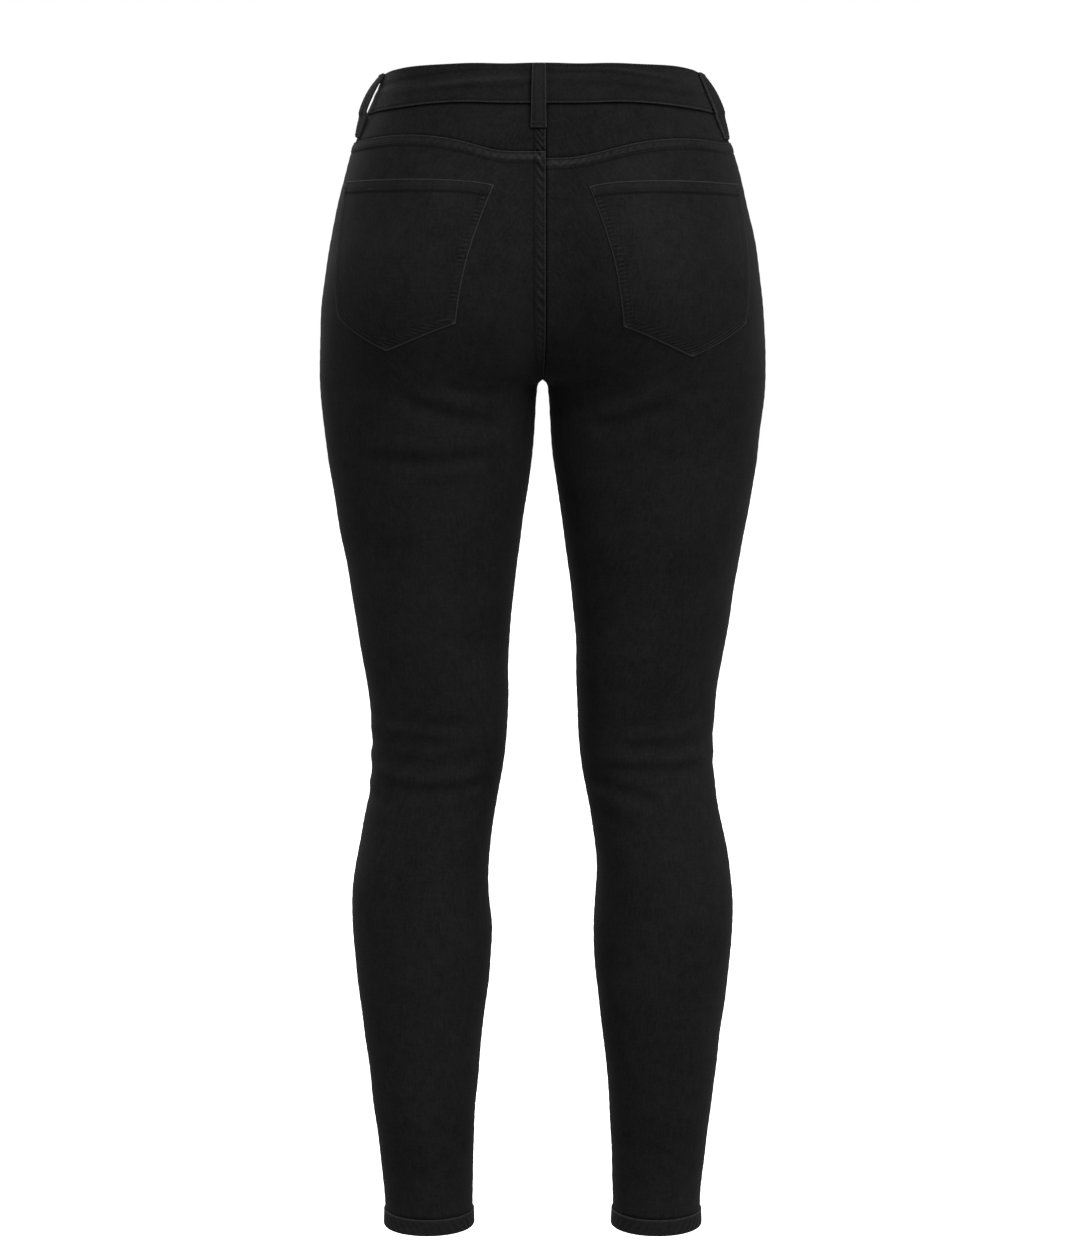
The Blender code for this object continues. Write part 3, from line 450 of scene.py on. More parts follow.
FINE_CREASES = (
    (1, 1, 0.016, -0.262, 0.060, -0.256, 0.002, -0.0009, 0.0035),
    (1, 1, 0.070, -0.263, 0.128, -0.256, 0.002, 0.0006, 0.0040),
    (1, 1, 0.060, -0.310, 0.118, -0.312, 0.003, 0.0006, 0.0045),
    (-1, 1, 0.020, -0.272, 0.058, -0.268, 0.002, -0.0007, 0.0035),
    (-1, 1, 0.052, -0.289, 0.098, -0.281, 0.002, 0.0006, 0.0045),
    (-1, 1, 0.092, -0.316, 0.150, -0.309, 0.002, -0.0006, 0.0045),
    (1, 1, 0.074, -0.541, 0.138, -0.536, 0.001, 0.0007, 0.0035),
    (1, 1, 0.044, -0.558, 0.090, -0.560, 0.001, -0.0007, 0.0035),
    (1, 1, 0.096, -0.592, 0.134, -0.599, 0.002, -0.0008, 0.0040),
    (1, 1, 0.042, -0.596, 0.082, -0.607, 0.002, -0.0009, 0.0045),
    (1, 1, 0.048, -0.612, 0.084, -0.624, 0.001, 0.0007, 0.0045),
    (-1, 1, 0.058, -0.542, 0.122, -0.541, 0.001, 0.0007, 0.0035),
    (-1, 1, 0.096, -0.586, 0.140, -0.580, 0.002, -0.0009, 0.0040),
    (-1, 1, 0.048, -0.594, 0.092, -0.608, 0.001, 0.0008, 0.0045),
    (-1, 1, 0.056, -0.626, 0.086, -0.638, 0.001, -0.0006, 0.0050),
    (1, 1, 0.0589, -0.851, 0.0702, -0.841, 0.001, -0.0008, 0.0025),
    (1, 0, 0.125, -0.5410, 0.175, -0.5420, 0.0, 0.0013, 0.0060),
    (1, 0, 0.125, -0.5550, 0.175, -0.5560, 0.0, -0.0013, 0.0055),
    (1, 0, 0.125, -0.5660, 0.175, -0.5656, 0.0, 0.0014, 0.0055),
    (1, 0, 0.125, -0.5785, 0.175, -0.5793, 0.0, -0.0013, 0.0055),
    (1, 0, 0.125, -0.5895, 0.175, -0.5903, 0.0, 0.0012, 0.0055),
    (1, 0, 0.125, -0.5995, 0.175, -0.5985, 0.0, -0.0011, 0.0060),
    (-1, 0, 0.125, -0.5470, 0.175, -0.5475, 0.0, -0.0008, 0.0060),
    (-1, 0, 0.125, -0.5620, 0.175, -0.5615, 0.0, 0.0009, 0.0060),
    (-1, 0, 0.125, -0.5750, 0.175, -0.5757, 0.0, -0.0009, 0.0060),
    (-1, 1, 0.070, -0.902, 0.118, -0.908, 0.002, -0.0004, 0.0060),
    (1, 1, 0.068, -0.930, 0.116, -0.925, 0.002, -0.0005, 0.0060),
    (-1, 1, 0.072, -0.940, 0.120, -0.946, 0.001, 0.0004, 0.0060),
    (1, -1, 0.020, -0.222, 0.072, -0.196, 0.002, -0.0008, 0.0045),
    (1, -1, 0.030, -0.248, 0.088, -0.232, 0.002, 0.0008, 0.0045),
    (1, -1, 0.016, -0.200, 0.058, -0.178, 0.002, -0.0006, 0.0045),
    (-1, -1, 0.018, -0.224, 0.066, -0.201, 0.002, -0.0008, 0.0045),
    (-1, -1, 0.034, -0.248, 0.092, -0.229, 0.002, 0.0007, 0.0045),
    (-1, -1, 0.020, -0.196, 0.062, -0.180, 0.002, -0.0005, 0.0045),
    (1, -1, 0.060, -0.586, 0.118, -0.580, 0.002, -0.0007, 0.0045),
    (1, -1, 0.066, -0.622, 0.124, -0.618, 0.003, -0.0007, 0.0050),
    (-1, -1, 0.064, -0.582, 0.124, -0.588, 0.002, -0.0007, 0.0045),
    (-1, -1, 0.056, -0.616, 0.110, -0.622, 0.003, -0.0008, 0.0050),
    (1, -1, 0.070, -0.918, 0.126, -0.926, 0.003, -0.0008, 0.0060),
    (-1, -1, 0.074, -0.924, 0.128, -0.916, 0.003, -0.0008, 0.0060),
)
FOLD_FADE, FOLD_TURN = 0.18, 0.030
print("folds:", len(FOLDS), "and fine creases:", len(FINE_CREASES))

# %% [markdown]
# ## How folds lift the cloth
# One fold is the bell curve of the distance from its line, faded in and out at its
# ends and kept to its own side of the leg. Under the folds lies a slow wave of a
# few tenths of a millimetre, because worn cloth is never quite fair.

# %% Fold height
def fold_rise(points):
    """Sum over the folds of rise * exp(-(distance from the line / half width)^2) * fades."""
    total = np.zeros(points.shape[:-1])
    for row in FOLDS + FINE_CREASES:
        fold = dict(zip(FOLD_COLUMNS, row))
        along = (points[..., 0] * fold["leg"] - fold["x_a"]) / (fold["x_b"] - fold["x_a"])
        line = fold["z_a"] + along * (fold["z_b"] - fold["z_a"]) - fold["bow"] * 4 * along * (1 - along)
        across = (points[..., 2] - line) / fold["half_width"]
        ends = np.clip(along / FOLD_FADE + 0.5, 0, 1) * np.clip((1 - along) / FOLD_FADE + 0.5, 0, 1)
        on_face = np.clip(points[..., 1] * fold["face"] / FOLD_TURN + 0.5, 0, 1)
        total += fold["rise"] * np.exp(-(across**2)) * ends * on_face
    return total


def slow_wave(points):
    """Sum of three long sines in x, y and z, 50 to 130 mm from crest to crest."""
    x, y, z = points[..., 0], points[..., 1], points[..., 2]
    return 0.00022 * (
        np.sin(61 * z + 23 * x + 1.3) + 0.7 * np.sin(97 * z - 41 * y + 31 * x + 0.4)
        + 0.5 * np.sin(131 * z + 53 * y - 47 * x + 2.2)
    )


print("deepest fold:", min(row[7] for row in FOLDS) * 1000, "mm")

# %% [markdown]
# ## Small shapes that sewing leaves
# Four curves are enough for all the sewing: a soft step, a bell, a rounded edge,
# and the puckers that thread draws up beside a seam. The puckers lean, and their
# spacing drifts, which gives the ropy look of a washed seam.

# %% Sewing curves
def bell(at, middle, width):
    """exp(-((at - middle) / width)^2)."""
    return np.exp(-(((at - middle) / width) ** 2))


def fallen_edge(distance, radius):
    """How far a face falls away near its edge: radius - sqrt(radius^2 - (radius - distance)^2)."""
    short = np.clip(radius - distance, 0, radius)
    return radius - np.sqrt(radius**2 - short**2)


def puckers(along, across, pitch, lean):
    """A sine whose phase is (along + lean * across) / pitch, with two slow drifts added."""
    phase = FULL_TURN * (along + lean * across) / pitch
    return np.sin(phase + 1.6 * np.sin(along * 67 + 0.3) + 0.9 * np.sin(along * 151 + 2.1))


def felled_seam(across, along, width, proud, rows, pitch, lean, pucker):
    """(rise, colour mark) of a folded seam: proud from its edge to its width, a dent at each row
    of stitches, and puckers between the rows. Its edge is rubbed lighter (above 0). The sides of
    its puckers that face the light from above get a painted highlight (above 0) and their hollows
    and lower sides painted shade (below 0), and its stitch dents and a strip just past its edge
    get painted shade (below 0)."""
    on_it = step(across, width + 0.0012, width - 0.0004)
    dents = sum(bell(across, row, 0.0007) for row in rows)
    middle = bell(across, sum(rows) / len(rows), 0.36 * width)
    uneven = 0.64 + 0.36 * np.sin(along * 43 + 1.0)
    ropes = puckers(along, across, pitch, lean) * uneven
    high = proud * on_it - 0.00024 * dents * on_it + pucker * ropes * middle
    # Painted highlight and painted shade: the pucker wave moved by 0.16 of a pitch, so its light half lies on
    # the sides that face the light from above.
    painted_light_on_puckers = puckers(along - 0.16 * pitch, across, pitch, lean) * uneven
    strength = np.clip(pucker / 0.0003, 0.4, 1.7)
    wear_and_painted_light = 0.9 * bell(across, 0.0002, 0.0006) + strength * painted_light_on_puckers * middle * np.where(painted_light_on_puckers > 0, 0.40, 0.52)
    # A strip just past the edge: with the stitch dents it gets painted shade, a painted shadow beside the
    # raised fell.
    painted_shadow_past_edge = bell(across, width + 0.0010, 0.0009)
    return high, wear_and_painted_light - 0.35 * dents * on_it - 0.28 * painted_shadow_past_edge + 0.05 * on_it


print("a pucker leans by its distance across the seam")

# %% [markdown]
# ## A wall of cloth from two grids
# Solidify could give a plane its thickness. The two faces of the cloth are made as
# two grids instead, because the inside must stay plain where the outside has seams.
# The wall carries its own UV map, in metres of cloth, for the weave, and an
# attribute for the colour: above 0 where the cloth is rubbed lighter (and painted highlight
# on lit pucker sides), below 0 for painted shade in dents, grooves and crevices.

# %% Make a wall
def quads(a, b, c, d):
    """One row of four corners for each cell."""
    return np.stack([corner.ravel() for corner in (a, b, c, d)], axis=1)


def put_in_scene(name, points, faces, corner_uv, wear_and_painted_light, finish):
    """A named mesh from arrays: points, faces of equal size, and a UV for each corner."""
    mesh = bpy.data.meshes.new(name)
    mesh.from_pydata(points, [], faces)
    mesh.uv_layers.new(name="cloth").data.foreach_set("uv", corner_uv.astype(np.float32).ravel())
    # The attribute is signed: above 0 rubbed fading and painted highlight, below 0 painted shade.
    mesh.attributes.new("wear_and_painted_light", "FLOAT", "POINT").data.foreach_set("value", wear_and_painted_light.astype(np.float32))
    mesh.shade_smooth()
    mesh.materials.append(bpy.data.materials.get(finish) or bpy.data.materials.new(finish))
    made = bpy.data.objects.new(name, mesh)
    bpy.context.scene.collection.objects.link(made)
    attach(made, BODY)
    return made


def make_wall(name, outer, inner, uv, wear_and_painted_light, finish, closed=False):
    """A closed wall between two matching grids of rows and columns. In a closed ring the
    last column repeats the first one, and shares its points but not its place on the cloth."""
    rows, columns = outer.shape[:2]
    kept = columns - 1 if closed else columns
    number = np.arange(2 * rows * kept).reshape(2, rows, kept)
    number = np.concatenate([number, number[:, :, :1]], axis=2) if closed else number
    top, under = np.arange(2 * rows * columns).reshape(2, rows, columns)
    cells = [
        quads(top[:-1, :-1], top[:-1, 1:], top[1:, 1:], top[1:, :-1]),
        quads(under[:-1, :-1], under[1:, :-1], under[1:, 1:], under[:-1, 1:]),
        quads(top[0, 1:], top[0, :-1], under[0, :-1], under[0, 1:]),
        quads(top[-1, :-1], top[-1, 1:], under[-1, 1:], under[-1, :-1]),
    ]
    if not closed:
        cells.append(quads(top[:-1, 0], top[1:, 0], under[1:, 0], under[:-1, 0]))
        cells.append(quads(top[1:, -1], top[:-1, -1], under[:-1, -1], under[1:, -1]))
    cells = np.concatenate(cells)
    points = np.concatenate([outer[:, :kept].reshape(-1, 3), inner[:, :kept].reshape(-1, 3)])
    worn_and_painted_light = np.concatenate([wear_and_painted_light[:, :kept].ravel(), 0.1 + 0 * wear_and_painted_light[:, :kept].ravel()])
    corner_uv = np.concatenate([uv.reshape(-1, 2), uv.reshape(-1, 2)])[cells.ravel()]
    return put_in_scene(name, points, number.reshape(-1)[cells], corner_uv, worn_and_painted_light, finish)


WALLS = {}
print("a wall has", 2, "faces and a rim")

# %% [markdown]
# ## Laying a patch on the skin
# Every cloth piece is a patch of the skin with its own range of heights and girths.
# This helper moves the two faces out along the normals, mirrors the patch for the
# wearer's right side, and keeps each half from crossing the middle of the body.

# %% Lay a patch
CLOTH = 0.0015
HAIR = 0.00003


def lifted(height, girth, out, side, folded=True):
    """Points and normals: the skin, moved out along its normal by the folds and by out.
    The right half mirrors the left one, but has folds of its own."""
    points, normals = skin(height, girth)
    mirror = np.array([side, 1.0, 1.0])
    if folded:
        out = out + fold_rise(points * mirror) + slow_wave(points * mirror)
    moved = points + normals * np.asarray(out)[..., None]
    own = (girth >= 0) & (girth <= 2)
    moved[..., 0] = np.where(own, np.maximum(moved[..., 0], 0.00002), moved[..., 0])
    return moved * mirror, normals * mirror


def lay_patch(node, height, girth, out, inside, wear_and_painted_light, side, uv=None, finish="black denim", closed=False):
    """The wall that replaces a CAD node, between two distances from the skin."""
    height, girth = (np.array(a, float) for a in np.broadcast_arrays(height, girth))
    outer, inner = (lifted(height, girth, d + 0 * girth, side)[0] for d in (out, inside))
    if uv is None:
        length = np.where(girth > 1, back_length(height), front_length(height))
        uv = np.stack([(girth - 1) * length, run_up(height, girth)], axis=-1)
    order = slice(None, None, side)
    made = make_wall(f"{node}_cloth", outer[:, order], inner[:, order], uv[:, order],
                     (wear_and_painted_light + 0 * girth)[:, order], finish, closed)
    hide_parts(node)
    WALLS[node] = made
    return made


def columns(first, last, width, near_first, near_last, count):
    """Girths from first to last, row by row: the near lists give metres from each edge, so
    that seams get fine cells, and `count` even steps fill the rest."""
    first, last, width = (np.asarray(a, float)[:, None] for a in (first, last, width))
    start, end = near_first + 0 * width, width - near_last[::-1]
    even = np.linspace(0, 1, count + 2)[None, 1:-1]
    metres = np.hstack([start, start[:, -1:] + (end[:, :1] - start[:, -1:]) * even, end])
    return first + (last - first) * metres / width, metres


SOFT_EDGE = np.array([0, 0.00012, 0.0003, 0.0006, 0.0011, 0.0018, 0.0028, 0.0042, 0.0060, 0.0085])
SEWN_EDGE = np.array([0, 0.00012, 0.0003, 0.0006, 0.0010, 0.0014, 0.0019, 0.0026, 0.0034, 0.0043,
                      0.0052, 0.0060, 0.0067, 0.0072, 0.0077, 0.0083, 0.0089, 0.0095, 0.0104, 0.0116])
print("finest cell at an edge:", SOFT_EDGE[1] * 1000, "mm")

# %% [markdown]
# ## Back panels
# Each back panel runs from the hem to the yoke. Its top edge is felled over the
# yoke with two rows of stitches, and the left panel is felled over the right one
# down the middle of the seat. At the outseam and the inseam the panels only meet,
# with the seam pressed open, so there the cloth rises a little and dips at the join.

# %% Back panels
FELL = 0.0086
CENTRE_ROWS, YOKE_ROWS = (0.0013, 0.0074), (0.0014, 0.0075)
CENTRE_SHIFT = 0.0024
LEG_ROWS = np.arange(HEM_TOP + HAIR, CROTCH - 0.012, 0.0031)
SEAT_ROWS = np.concatenate([
    np.linspace(CROTCH - 0.0115, CROTCH - 0.0002, 8), np.linspace(CROTCH, YOKE_SEAM - 0.0115, 150),
])
YOKE_EDGE = YOKE_SEAM - np.array([
    0.0108, 0.0100, 0.0093, 0.0088, 0.0084, 0.0080, 0.0075, 0.0070, 0.0064, 0.0056, 0.0048,
    0.0039, 0.0031, 0.0024, 0.0019, 0.0014, 0.0010, 0.0006, 0.0003, 0.00012, HAIR,
])


def above_crotch(height):
    """0 at the crotch and 1 from 9 mm above it."""
    return step(height, CROTCH, CROTCH + 0.009)


def pressed_seam(distance, along):
    """(rise, colour mark) beside a seam that is pressed open: a low swell with faint puckers,
    rubbed a little lighter on the swell, and painted shade down the join itself.
    """
    swell = bell(distance, 0.0035, 0.0060)
    ripple = puckers(along, distance, 0.0105, 0.5)
    high = 0.00030 * swell + 0.00012 * ripple * bell(distance, 0.001, 0.006)
    # Lighter where rubbed on the swell, and painted shade down the join.
    return high, 0.25 * bell(distance, 0.0014, 0.0010) - 0.6 * bell(distance, 0.0, 0.0006)


def back_relief(height, girth, side):
    """(rise, colour mark) of a back panel's face: centre seam, yoke seam, outseam and inseam.
    It is rubbed lighter on the seams' raised parts, with painted shade in their dents and
    crevices, and on the right panel a painted shadow beside the left panel's lapped edge.
    """
    length, up = back_length(height), run_up(height, girth)
    above = above_crotch(height)
    from_side, from_inner = (girth - 1) * length, (2 - girth) * length
    below_yoke = run_up(yoke_line(girth, side), girth) - up
    high, wear_and_painted_light = felled_seam(below_yoke, from_side, FELL, 0.0007, YOKE_ROWS, 0.0068, 0.50,
                             0.00010 + 0.00016 * bell(from_inner, 0.004, 0.050))
    wear_and_painted_light = wear_and_painted_light + (0.08 + 0.44 * bell(from_inner, 0.004, 0.042)) * bell(below_yoke, 0.0044, 0.0034)
    high = high - fallen_edge(below_yoke, 0.0005)
    if side > 0:
        edge = from_inner + CENTRE_SHIFT * above
        ropes = 0.00026 + 0.00028 * step(height, YOKE_SEAM - 0.080, YOKE_SEAM - 0.010)
        fell, worn_and_painted_light = felled_seam(edge, up, FELL, 0.0008, CENTRE_ROWS, 0.0086, -0.55, ropes)
        high = high + above * (fell - fallen_edge(edge, 0.0005))
        wear_and_painted_light = wear_and_painted_light + above * worn_and_painted_light
    else:
        high = high + above * 0.0001 * bell(from_inner, 0.004, 0.004)
        # Painted shadow: a dark strip beside the edge of the left panel, which laps over this one.
        wear_and_painted_light = wear_and_painted_light - above * 1.1 * bell(from_inner - CENTRE_SHIFT, 0.0, 0.0015)
    for distance, share in ((from_side, 1.0), (from_inner, 1 - above)):
        swell, worn_and_painted_light = pressed_seam(distance, up)
        high = high + share * (swell - fallen_edge(distance, 0.0006))
        wear_and_painted_light = wear_and_painted_light + share * worn_and_painted_light
    return high, wear_and_painted_light


def back_panel(side, label):
    """The patch from the outseam (girth 1) to the inseam or the centre seam (girth 2)."""
    height = np.concatenate([LEG_ROWS, SEAT_ROWS, YOKE_EDGE])
    length, above = back_length(height), above_crotch(height)
    last = 2 + (side * CENTRE_SHIFT * above - HAIR) / length
    first = 1 + HAIR / length
    girth, _ = columns(first, last, (last - first) * length, SOFT_EDGE, SEWN_EDGE, 58)
    height = bent(height[:, None] + 0 * girth, girth, high="yoke", side=side)
    high, wear_and_painted_light = back_relief(height, girth, side)
    return lay_patch(f"back_panel_{label}", height, girth, high, -CLOTH, wear_and_painted_light, side)


for side, label in ((1, "left"), (-1, "right")):
    print(back_panel(side, label).name, "faces:", len(WALLS[f"back_panel_{label}"].data.polygons))

# %% [markdown]
# ## Front panels
# A front panel is cut away at its top outer corner for the pocket's mouth, whose
# edge is an arc of an ellipse, turned under and stitched twice. The left panel laps
# over the right one at the fly, and its curved stitching, the J, holds the fly's
# facing. Below the fly the two are felled together like the seat.

# %% Front panels
MOUTH_DEPTH, MOUTH_WIDTH, MOUTH_BEND = 0.070, 0.42, 0.97
MOUTH_STITCHES = (0.0014, 0.0074)
FLY_LIFT_STARTS, FLY_LAP_STARTS, FLY_LAP_FULL = -0.134, -0.1185, -0.103
FLY_LAP, FLY_LIFT = 0.0049, CLOTH + 0.0006
J_WIDTH, J_BEND, J_BOTTOM = 0.036, -0.088, -0.129


def mouth_girth(height):
    """Girth of the pocket mouth's edge: 1 below it, and less by an elliptical arc up to the waist."""
    drop = np.clip((WAIST_SEAM - height) / MOUTH_DEPTH, 0, 1) * MOUTH_BEND
    lowest = math.sqrt(1 - MOUTH_BEND**2)
    return 1 - MOUTH_WIDTH * (np.sqrt(1 - drop**2) - lowest) / (1 - lowest)


def from_mouth(height, girth):
    """Distance from the mouth's edge: the gap in girth, divided by how fast it changes."""
    probe = 0.0004
    low, high = height - probe, np.minimum(height + probe, WAIST_SEAM)
    climb = (mouth_girth(high) - mouth_girth(low)) / (high - low) / rate_up(height, girth)
    gap = mouth_girth(height) - girth
    near = step(height, WAIST_SEAM - MOUTH_DEPTH - 0.010, WAIST_SEAM - MOUTH_DEPTH + 0.002)
    return gap / np.sqrt(1 / front_length(height) ** 2 + climb**2) + 0.02 * (1 - near)


def j_reach(height):
    """Distance of the J's outer row from the middle: straight, then a quarter of an ellipse."""
    bend = np.clip((J_BEND - height) / (J_BEND - J_BOTTOM), 0, 1)
    return J_WIDTH * np.sqrt(1 - bend**2)


def left_lap(height):
    """How far the left front panel reaches past the middle."""
    return (CENTRE_SHIFT * above_crotch(height)
            + (FLY_LAP - CENTRE_SHIFT) * step(height, FLY_LAP_STARTS, FLY_LAP_FULL))


def front_relief(height, girth, side):
    """(rise, colour mark) of a front panel's face: rubbed lighter at its edges, with painted shade
    in the stitch dents and seam crevices and a painted shadow under the waistband.
    """
    length, up = front_length(height), run_up(height, girth)
    above = above_crotch(height)
    from_inner, from_side = girth * length, (1 - girth) * length
    mouth = from_mouth(height, girth)
    high = 0.0005 * step(mouth, 0.0098, 0.0080) - 0.0002 * sum(bell(mouth, r, 0.0007) for r in MOUTH_STITCHES)
    high = high + 0.00010 * puckers(up, mouth, 0.0042, 0.4) * bell(mouth, 0.0045, 0.003)
    # The mouth's edge is rubbed lighter, and its stitch dents get painted shade.
    wear_and_painted_light = 0.8 * bell(mouth, 0.0002, 0.0007) - 0.3 * sum(bell(mouth, r, 0.0007) for r in MOUTH_STITCHES)
    below_band = run_up(waist_line(girth), girth) - up
    high = high - fallen_edge(mouth, 0.0006)
    if side > 0:
        edge = from_inner + left_lap(height)
        below_fly = above * step(height, J_BOTTOM + 0.006, J_BOTTOM - 0.006)
        fell, worn_and_painted_light = felled_seam(edge, up, FELL, 0.0008, CENTRE_ROWS, 0.0080, -0.55, 0.00030)
        high, wear_and_painted_light = high + below_fly * fell, wear_and_painted_light + below_fly * worn_and_painted_light
        at_fly = step(height, FLY_LIFT_STARTS, FLY_LAP_STARTS)
        near_centre = step(from_inner, 0.022, 0.008)
        high = high + FLY_LIFT * near_centre * at_fly - above * fallen_edge(edge, 0.0006)
        inside_j = (step(from_inner - j_reach(height), 0.0006, -0.0010)
                    * step(height, J_BOTTOM - 0.002, J_BOTTOM + 0.004))
        high = high + 0.00035 * inside_j
        wear_and_painted_light = wear_and_painted_light + above * 0.7 * bell(edge, 0.0002, 0.0008)
    # Painted shadow: a dark strip just under the waistband's lower edge.
    wear_and_painted_light = wear_and_painted_light - 0.8 * bell(below_band, 0, 0.0015)
    for distance, share in ((from_side, step(height, -0.084, -0.092)), (from_inner, 1 - above)):
        swell, worn_and_painted_light = pressed_seam(distance, up)
        high = high + share * (swell - fallen_edge(distance, 0.0006))
        wear_and_painted_light = wear_and_painted_light + share * worn_and_painted_light
    return high, wear_and_painted_light


def front_panel(side, label):
    """The patch from the inseam or the centre (girth 0) to the outseam or the mouth."""
    height = np.concatenate([
        LEG_ROWS, np.linspace(CROTCH - 0.0115, CROTCH - 0.0002, 8), np.linspace(CROTCH, -0.0870, 108),
        np.linspace(-0.0862, WAIST_SEAM - HAIR, 76),
    ])
    length, above = front_length(height), above_crotch(height)
    if side > 0:
        first = (HAIR - left_lap(height)) / length
    else:
        first = (HAIR + CENTRE_SHIFT * above * step(height, FLY_LAP_FULL, FLY_LAP_STARTS)) / length
    last = mouth_girth(height) - HAIR / length
    girth, _ = columns(first, last, (last - first) * length, SEWN_EDGE, SEWN_EDGE, 30)
    height = bent(height[:, None] + 0 * girth, girth, high="waist")
    high, wear_and_painted_light = front_relief(height, girth, side)
    lift = 0.0
    if side > 0:
        lift = (FLY_LIFT * step(girth * front_length(height), 0.022, 0.008)
                * step(height, FLY_LIFT_STARTS, FLY_LAP_STARTS))
    return lay_patch(f"front_panel_{label}", height, girth, high, lift - CLOTH, wear_and_painted_light, side)


for side, label in ((1, "left"), (-1, "right")):
    print(front_panel(side, label).name, "faces:", len(WALLS[f"front_panel_{label}"].data.polygons))

# %% [markdown]
# ## Yokes, pocket facings and the fly's shield
# The yoke is the shaped piece that gives the seat its curve without darts. A facing
# shows inside each front pocket's mouth, and the shield lies behind the fly. They
# are small patches of the same skin, each a little deeper or shallower.

# %% Yokes, facings and shield
def yoke_relief(height, girth, side):
    """(rise, colour mark) of a yoke: the centre seam goes on through it, with the same stitches.
    A painted shadow runs under the waistband and painted shade along the yoke seam, and the
    right yoke has a painted shadow beside the left yoke's lapped edge.
    """
    length, up = back_length(height), run_up(height, girth)
    from_side, from_inner = (girth - 1) * length, (2 - girth) * length
    high = -fallen_edge(from_side, 0.0006)
    wear_and_painted_light = 0.25 * bell(from_side, 0, 0.0012)
    band_seam = run_up(waist_line(girth), girth) - up
    # Painted shadow: a dark strip just under the waistband's lower edge.
    wear_and_painted_light = wear_and_painted_light - 1.1 * bell(band_seam, 0.0003, 0.0017)
    above_seam = up - run_up(yoke_line(girth, side), girth)
    ripple = puckers(from_side, above_seam, 0.0040, 0.2) * bell(above_seam, 0, 0.005)
    high = high - 0.00025 * bell(above_seam, 0.0, 0.0016) + 0.00008 * ripple
    # Painted shade: a dark line along the yoke seam.
    wear_and_painted_light = wear_and_painted_light - 0.7 * bell(above_seam, 0.0, 0.0015)
    if side > 0:
        from_edge = from_inner + CENTRE_SHIFT
        fell, worn_and_painted_light = felled_seam(from_edge, up, FELL, 0.0008, CENTRE_ROWS, 0.0070, -0.40, 0.00060)
        return high + fell - fallen_edge(from_edge, 0.0005), wear_and_painted_light + worn_and_painted_light
    # Painted shadow beside the edge of the left yoke, which laps over this one.
    return high, wear_and_painted_light - 1.1 * bell(from_inner - CENTRE_SHIFT, 0.0, 0.0015)


def yoke(side, label):
    """The patch between the yoke seam and the waistband."""
    height = np.concatenate([
        YOKE_SEAM + np.array([HAIR, 0.0003, 0.0007, 0.0013]),
        np.linspace(YOKE_SEAM + 0.0021, WAIST_SEAM - 0.0006, 22), [WAIST_SEAM - HAIR],
    ])
    length = back_length(height)
    first, last = 1 + HAIR / length, 2 + (side * CENTRE_SHIFT - HAIR) / length
    girth, _ = columns(first, last, (last - first) * length, SOFT_EDGE, SEWN_EDGE, 80)
    height = bent(height[:, None] + 0 * girth, girth, low="yoke", side=side)
    high, wear_and_painted_light = yoke_relief(height, girth, side)
    return lay_patch(f"yoke_{label}", height, girth, high, -CLOTH, wear_and_painted_light, side)


def pocket_facing(side, label):
    """From under the front panel to just past the outseam, inside both."""
    height = np.linspace(-0.1030, WAIST_SEAM - 0.0002, 60)
    share = np.linspace(0, 1, 44)
    first = mouth_girth(height) - 0.085
    girth = first[:, None] + (1.090 - first)[:, None] * share
    outer, inner = -CLOTH - 0.0002, -CLOTH - 0.0014
    return lay_patch(f"pocket_facing_{label}", height[:, None], girth, outer, inner, 0.05, side)


def fly_shield():
    """A strip behind the fly, mostly behind the right front panel."""
    height = np.linspace(-0.1300, -0.0180, 60)[:, None]
    girth = np.linspace(-0.18, 0.14, 30)[None, :]
    return lay_patch("fly_shield", height, girth, -CLOTH - 0.0016, -2 * CLOTH - 0.0016, 0.05, 1)


for side, label in ((1, "left"), (-1, "right")):
    print(yoke(side, label).name, pocket_facing(side, label).name)
print(fly_shield().name)

# %% [markdown]
# ## Back pockets
# A patch pocket is a five-cornered piece whose edges are folded under and stitched
# down twice, and whose mouth is hemmed. Its grid runs from the point up to the
# mouth. The distance to the nearest edge decides everything else: the raised
# border, the dents of the stitch rows and the puckers between them.

# %% Back pockets
POCKET_COLUMNS = ("side", "mouth_outer", "mouth_inner", "corner_inner", "point", "corner_outer")
POCKETS = (
    ("left", (-0.0715, 1.1525), (-0.0750, 1.8250), (-0.1890, 1.6875), (-0.2110, 1.4550), (-0.1850, 1.2750)),
    ("right", (-0.0735, 1.1750), (-0.0760, 1.8325), (-0.1905, 1.7025), (-0.2155, 1.4675), (-0.1895, 1.2800)),
)
POCKET_TIP, POCKET_CORNER = 0.004, 0.20
POCKET_BORDER, POCKET_HEM = 0.0092, 0.0096
POCKET_ROWS = (0.0013, 0.0078)
POCKET_FACE = 0.0011


def pocket_plan(row):
    """The pocket laid flat: corners in metres, and the scale from (girth, height) to them."""
    pocket = dict(zip(POCKET_COLUMNS, row))
    corners = np.array([pocket[name][::-1] for name in POCKET_COLUMNS[1:]])
    centre = corners.mean(axis=0)
    scale = np.array([float(back_length(centre[1])), float(rate_up(centre[1], centre[0]))])
    return pocket, corners * scale, scale


def from_edges(flat, corners):
    """Distance of each flat point from the mouth and from the nearest other edge. The
    corners go round clockwise as seen from behind, so the inside is on one side of each."""
    start, end = corners, np.roll(corners, -1, axis=0)
    along = (end - start) / np.linalg.norm(end - start, axis=1, keepdims=True)
    inward = np.stack([along[:, 1], -along[:, 0]], axis=1)
    away = np.einsum("...ek,ek->...e", flat[..., None, :] - start, inward)
    return away[..., 0], away[..., 1:].min(axis=-1)


